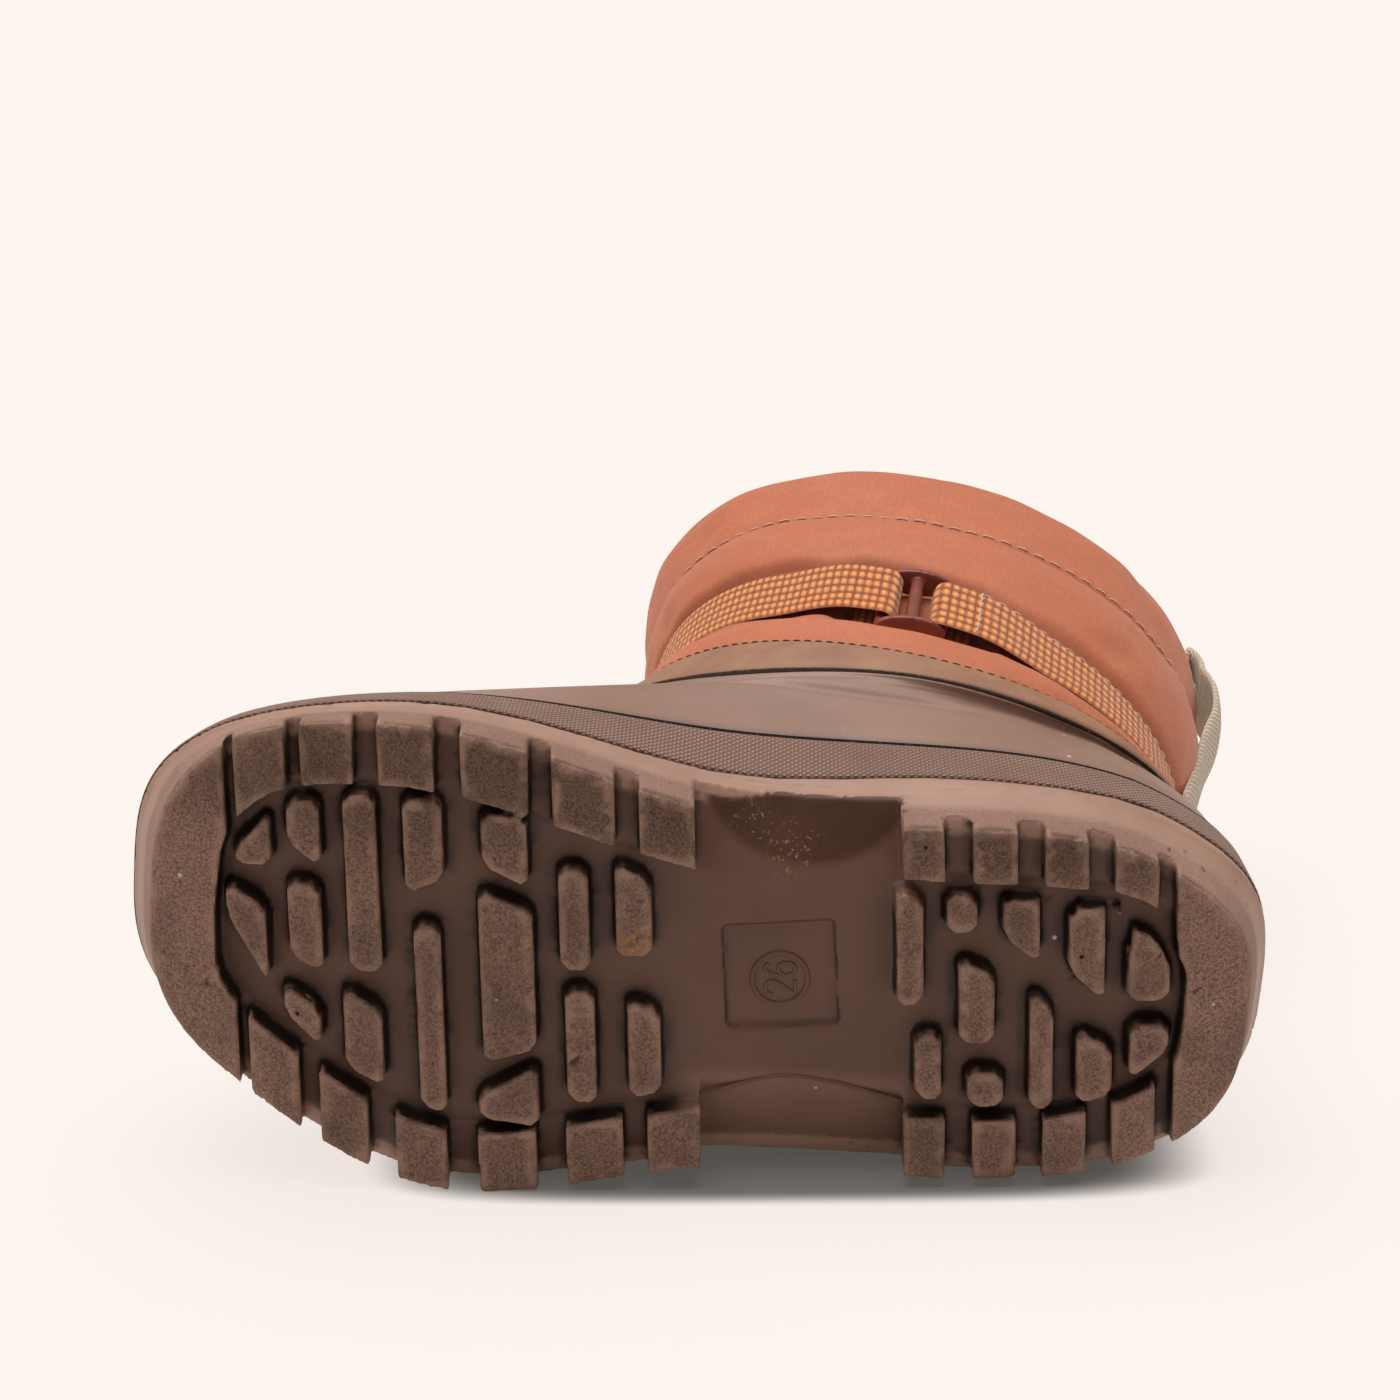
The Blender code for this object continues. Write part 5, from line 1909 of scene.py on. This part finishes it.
@dataclass
class Strap:
    """Checked webbing round the ankle, folded into a loop at each end, with its sewing.

    Attributes:
        thickness: Thickness of the webbing.
        gap: Distance from the leg, below nothing where it presses into the padding.
        hump: How much higher the top layer lies at the catch.
        bar: Radius of the bar in each loop, with its clearance.
        bar_offset: Distance of each bar from the middle of the buckle.
        tail: Length of the folded end.
        ramp: Length over which the top layer comes down again.
        knuckle: Size of one knuckle of the weave along and across.
        width: Width of the webbing.
        relief: Height of a knuckle.
    """
    thickness: float = 1.35
    gap: float = -0.8
    hump: float = 1.8
    bar: float = 1.2
    bar_offset: float = 5.4
    tail: float = 6.2
    ramp: float = 17.0
    knuckle: tuple[float, float] = (1.6, 3.2)
    width: float = 20.0
    relief: float = 0.14

    def path(self, total: float) -> Array:
        """Middle line, distance along and out: tail, half turn on the bar, top layer, ramp, leg, and back.

        Args:
            total: Length once round the leg.

        Returns:
            Points of two numbers each.
        """
        base = self.gap + self.thickness / 2
        radius = self.bar + self.thickness / 2
        turn = np.linspace(0, math.pi, 15)
        top = base + self.hump
        low = top - 2 * radius
        arc = np.stack((self.bar_offset - radius * np.sin(turn),
                        top - radius - radius * np.cos(turn)), axis=1)
        f = np.linspace(0.0, 1, 17)[1:]
        ramp = np.stack((self.bar_offset + self.tail + f * self.ramp,
                         top + (base - top) * smooth(0, 1, f)), axis=1)
        start = np.array(((self.bar_offset + self.tail, low), (self.bar_offset + self.tail * 0.5, low)))
        level = np.array(((self.bar_offset + self.tail * 0.3, top), (self.bar_offset + self.tail * 0.7, top),
                          (self.bar_offset + self.tail, top)))
        front = np.concatenate((start, arc, level, ramp))
        first = front[-1, 0]
        round_leg = np.linspace(first, total - first, 90)[1:-1]
        middle = np.stack((round_leg, np.full_like(round_leg, base)), axis=1)
        back = front[::-1] * np.array((-1, 1)) + np.array((total, 0))
        return np.concatenate((front, middle, back))

    def build_webbing(self, line: StrapLine) -> None:
        """Webbing swept along its path.

        The half thickness at share s of the width is t / 2 (1 - |2s - 1|^6)^(1/2), and each knuckle of
        the weave rises by the root of (1 + cos 2 pi a)(1 + cos 2 pi b) / 4 over its cell.

        Args:
            line: The strap's measure on the leg.
        """
        path = self.path(line.length)
        run = arc_mm(path[:, None], 0, False)
        fine = np.linspace(0, run[-1], int(run[-1] / 0.34))
        track = np.stack((np.interp(fine, run, path[:, 0]), np.interp(fine, run, path[:, 1])), axis=1)
        kernel = np.ones(5) / 5
        eased = np.stack([np.convolve(np.pad(track[:, k], 2, mode="edge"), kernel, "valid")
                          for k in (0, 1)], axis=1)
        eased[[0, -1]] = track[[0, -1]]
        ahead = unit(np.gradient(eased, axis=0))
        side = np.stack((-ahead[:, 1], ahead[:, 0]), axis=1)
        over, under = np.linspace(0, 1, 42), np.linspace(1, 0, 12)
        share = np.concatenate((over, under))
        sign = np.concatenate((np.ones_like(over), -np.ones_like(under)))
        half = self.thickness / 2 * np.sqrt(np.clip(1 - np.abs(2 * share - 1) ** 6, 0.02, 1)) - 0.12
        a = 0.5 + 0.5 * np.cos(TAU * fine[:, None] / self.knuckle[0])
        lane = share * self.width / self.knuckle[1]
        b = 0.5 + 0.5 * np.cos(TAU * lane[None] + math.pi)
        weave = np.sqrt(a * b)
        fade = np.sqrt(np.clip(1 - np.abs(2 * share - 1) ** 8, 0, 1))
        offset = (half[None] + self.relief * weave * fade) * sign
        distance = eased[:, :1] + side[:, :1] * offset
        out = eased[:, 1:] + side[:, 1:] * offset
        points = line.point(share[None], distance, out)
        mesh = sweep_surface(points).mesh("webbing")
        give_values(mesh, "weave", weave)
        add_piece("webbing", mesh, Slot.STRAP, CheckWebbing().build(), replaces="strap")

    def build_stitches(self, line: StrapLine) -> None:
        """Pale sewing on the heel side of the buckle: one bar across and a line along the upper edge.

        Args:
            line: The strap's measure on the leg.
        """
        top = self.gap + self.thickness
        fold = self.bar_offset + self.tail
        share = np.linspace(0.10, 0.90, 8)
        bar = (share, np.full(8, -fold - 0.4), np.full(8, top + self.hump))
        run = np.arange(fold + 1.5, fold + 62, 2.9)
        edge = (np.full_like(run, 0.92), -run,
                top - 0.08 + self.hump * (1 - smooth(0, self.ramp, run - fold)))
        thread = Thread("pale thread", (0.72, 0.60, 0.48)).build()
        rows = {"strap_stitch_bar": (bar, (0.02, 0.0), 0.19), "strap_stitch_edge": (edge, (0.0, 0.3), 0.15)}
        for name, ((across, along, out), way, radius) in rows.items():
            along = along + line.length
            middle = line.point(across, along, out)
            ahead = unit(line.point(across + way[0], along + way[1], out)
                         - line.point(across - way[0], along - way[1], out))
            up = unit(np.cross(line.point(across + 0.02, along, out) - middle,
                               line.point(across, along + 0.3, out) - middle))
            add_piece(name, stitches(name, middle, ahead, up, 2.0, radius), Slot.STRAP, thread)

    def build(self) -> None:
        """Make the strap's pieces."""
        self.build_webbing(LINE)
        self.build_stitches(LINE)


@dataclass
class Buckle:
    """Moulded catch between the two loops of the strap, pressed into the padding.

    Attributes:
        voxel: Size of the faces of its moulded skin.
        sink: How far it is pressed in.
        square_deg: Turn about the leg's normal that sets its bars along the strap's cross lines.
    """
    voxel: float = 0.3
    sink: float = 3.6
    square_deg: float = 18.0

    def build(self) -> None:
        """The moulded catch with rounded edges."""
        mesh = even_skin(node_copy("buckle"), self.voxel)
        centre = LINE.point(0.5, 0.0, 0.0)
        out = unit(LINE.point(0.5, 0.0, 1.0) - centre)
        local = mesh_points(mesh) - centre
        spin = np.array(Matrix.Rotation(math.radians(self.square_deg), 3, Vector(out)))
        mesh.vertices.foreach_set("co", POSE.world(local @ spin.T + centre - self.sink * out).ravel())
        mesh.update()
        add_piece("catch", mesh, Slot.BUCKLE, RustPlastic().build(), replaces="buckle")


@dataclass
class PullLoop:
    """Cream tape loop up the back of the leg, folded over at the top.

    Attributes:
        width: Width of the tape.
        bow: Radius of its bow round the leg.
        thickness: Thickness of the tape.
        gap: Distance from the leg at the ends.
        middle_y: Place of its middle line across the boot.
        limp: How far its edges wave.
        path: Height, and distance out of the back of the leg.
    """
    width: float = 14.0
    bow: float = 31.0
    thickness: float = 1.5
    gap: float = 0.5
    middle_y: float = -1.5
    limp: float = 0.35
    path: tuple[tuple[float, float], ...] = (
        (87.5, 0.0), (98, 0.1), (110, 0.4), (124, 1.7), (134, 3.6), (146, 4.6),
        (158, 4.8), (165.5, 4.3), (168, 3.1), (164.5, 1.6), (156, 0.4), (146, 0.0))

    def build(self) -> None:
        """Tape swept along its path, bowed by y^2 / (2 bow) across, with soft edges."""
        back = FORM.point(np.linspace(10, Level.TOP, 57), 0.0)
        knots = np.array(self.path, dtype=float)
        run = arc_mm(knots[:, None], 0, False)
        fine = np.linspace(0, run[-1], 260)
        height = hermite(run, knots[:, 0], fine)
        out = hermite(run, knots[:, 1], fine) + self.gap + self.thickness / 2
        line = np.stack((np.interp(height, back[:, 2], back[:, 0]) - out, height), axis=1)
        ahead = unit(np.gradient(line, axis=0))
        side = np.stack((-ahead[:, 1], ahead[:, 0]), axis=1)
        y = np.concatenate((np.linspace(-1, 1, 17), np.linspace(1, -1, 17)))
        sign = np.repeat((1.0, -1.0), 17)
        half = self.thickness / 2 * np.sqrt(np.clip(1 - np.abs(y) ** 8, 0.05, 1)) * sign
        limp = self.limp * np.sin(fine / 11.0)[:, None] * y[None] ** 2
        across = y * self.width / 2
        track = line[:, None] + side[:, None] * half[None, :, None]
        x = track[..., 0] + across ** 2 / (2 * self.bow) - limp
        points = np.stack(np.broadcast_arrays(x, self.middle_y + across, track[..., 1]), axis=-1)
        mesh = sweep_surface(points).mesh("pull_tape")
        add_piece("pull_tape", mesh, Slot.PULL_LOOP, CreamWebbing().build(), replaces="pull_loop")


@dataclass(frozen=True)
class Studio:
    """Pale floor, soft light from above and the photograph's camera.

    Attributes:
        tilt_deg: Angle between the view and the tread's normal.
        swing_deg: Turn of the boot under the camera.
        roll_deg: Roll of the camera.
        distance: Millimetres from the camera to the point that it is placed by.
        pixels_per_mm: Size of a millimetre there, in a frame of 1400 pixels.
        aim_px: Pixel that shows that point.
        aim_mm: The point, on the boot.
        floor_half: Half the width of the floor.
        floor: Floor colour.
        glow: Light of the lit-through floor, which keeps its shadows faint.
        sky: Strength of the light from all round.
        shadow_patches: Floor under sole and leg with painted shadow, where it shines less: middle and half
            size along X and Y.
        patch_edge: Where a patch of painted shadow starts and ends to brighten, as a sum of fourth powers of
            its half sizes.
        patch_glow: Share of the glow that is left in its middle.
        lamp: Strength of the light from above.
        lamp_deg: Width of that lamp as seen from the boot.
        lean_deg: How far it leans about X and Y.
    """
    tilt_deg: float = 21.0
    swing_deg: float = 5.5
    roll_deg: float = -1.5
    distance: float = 720.0
    pixels_per_mm: float = 5.98
    aim_px: tuple[float, float] = (700.0, 960.0)
    aim_mm: tuple[float, float, float] = (95.0, 5.0, 0.0)
    floor_half: float = 8.0
    floor: Colour = (0.130, 0.122, 0.115)
    glow: Colour = (0.815, 0.757, 0.716)
    sky: float = 0.27
    shadow_patches: tuple[tuple[tuple[float, float], tuple[float, float]], ...] = (
        ((0.010, 0.066), (-0.0655, 0.0207)), ((0.038, 0.042), (0.004, 0.060)))
    patch_edge: tuple[float, float] = (0.45, 1.7)
    patch_glow: float = 0.10
    lamp: float = 3.25
    lamp_deg: float = 62.0
    lean_deg: float = -8.0

    def build_camera(self) -> None:
        """Camera axes: the boot's axes tilted, swung and rolled; its place follows from the aimed pixel."""
        t, k, r = (math.radians(a) for a in (self.tilt_deg, self.swing_deg, self.roll_deg))
        base = np.array(((-1, 0, 0), (0, -math.cos(t), -math.sin(t)), (0, -math.sin(t), math.cos(t)))).T
        swing, roll = (np.array(((math.cos(a), -math.sin(a), 0), (math.sin(a), math.cos(a), 0), (0, 0, 1)))
                       for a in (k, r))
        spin = roll @ base @ swing
        focal = self.pixels_per_mm * self.distance
        ray = np.array((*((px - FRAME_PX / 2) / focal for px in self.aim_px), 1.0))
        place = -spin.T @ (ray * self.distance - spin @ np.array(self.aim_mm))
        axes = POSE.spin() @ np.stack((spin[0], -spin[1], -spin[2]), axis=1)
        rows = [[*row, shift] for row, shift in zip(axes.tolist(), POSE.world(place))]
        matrix = Matrix(rows + [[0, 0, 0, 1]])
        camera = bpy.data.cameras.new("camera")
        camera.sensor_width = SENSOR_MM
        camera.lens = focal / FRAME_PX * SENSOR_MM
        camera.clip_start = 0.02
        holder = linked("camera", camera)
        holder.matrix_world = matrix
        bpy.context.scene.camera = holder

    def build_floor(self) -> None:
        """Wide level floor under the boot with painted shadow; a patch's glow goes by the sum of (distance /
        half size)^4.
        """
        mesh = bpy.data.meshes.new("floor")
        corners = [(x * self.floor_half, y * self.floor_half, 0)
                   for x, y in ((-1, -1), (1, -1), (1, 1), (-1, 1))]
        mesh.from_pydata(corners, [], [(0, 1, 2, 3)])
        piece = linked("floor", mesh)
        n = Nodes("floor")
        split = n.add("ShaderNodeSeparateXYZ")
        n.feed(split.inputs[0], n.place)
        lit = []
        for patch in self.shadow_patches:
            powers = []
            for axis, (middle, half) in zip(split.outputs, patch):
                share = n.math("DIVIDE", n.math("SUBTRACT", axis, middle), half)
                powers.append(n.math("POWER", n.math("ABSOLUTE", share), 4.0))
            # painted shadow: the floor's glow falls to its patch share under the boot
            lit.append(n.span(n.math("ADD", *powers), *self.patch_edge, self.patch_glow, 1.0))
        mesh.materials.append(n.finish(self.floor, 0.9, Specular_IOR_Level=0.0, Emission_Color=self.glow,
                                       Emission_Strength=n.math("MINIMUM", *lit)))

    def build_light(self) -> None:
        """A wide soft lamp above and even light from all round."""
        lamp = bpy.data.lights.new("soft lamp", "SUN")
        lamp.energy = self.lamp
        lamp.angle = math.radians(self.lamp_deg)
        holder = linked("soft lamp", lamp)
        lean = math.radians(self.lean_deg)
        holder.rotation_euler = (lean, lean, 0)
        world = bpy.data.worlds.new("studio")
        world.use_nodes = True
        back = world.node_tree.nodes["Background"]
        back.inputs["Color"].default_value = (1.0, 0.97, 0.94, 1.0)
        back.inputs["Strength"].default_value = self.sky
        bpy.context.scene.world = world
        bpy.context.scene.view_settings.view_transform = "Standard"

    def build(self) -> None:
        """Make the studio."""
        self.build_camera()
        self.build_floor()
        self.build_light()


def main() -> None:
    """Build the studio and the boot."""
    logging.basicConfig(level=logging.INFO, format="%(name)s %(message)s")
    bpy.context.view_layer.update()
    builders: list[Callable[[], None]] = [
        Studio().build, Sole().build, Footbed().build, RubberShell().build, Trim().build, PaddedLeg().build,
        Strap().build, Buckle().build, PullLoop().build]
    for build in builders:
        build()
    bpy.context.view_layer.update()


if __name__ == "__main__":
    main()
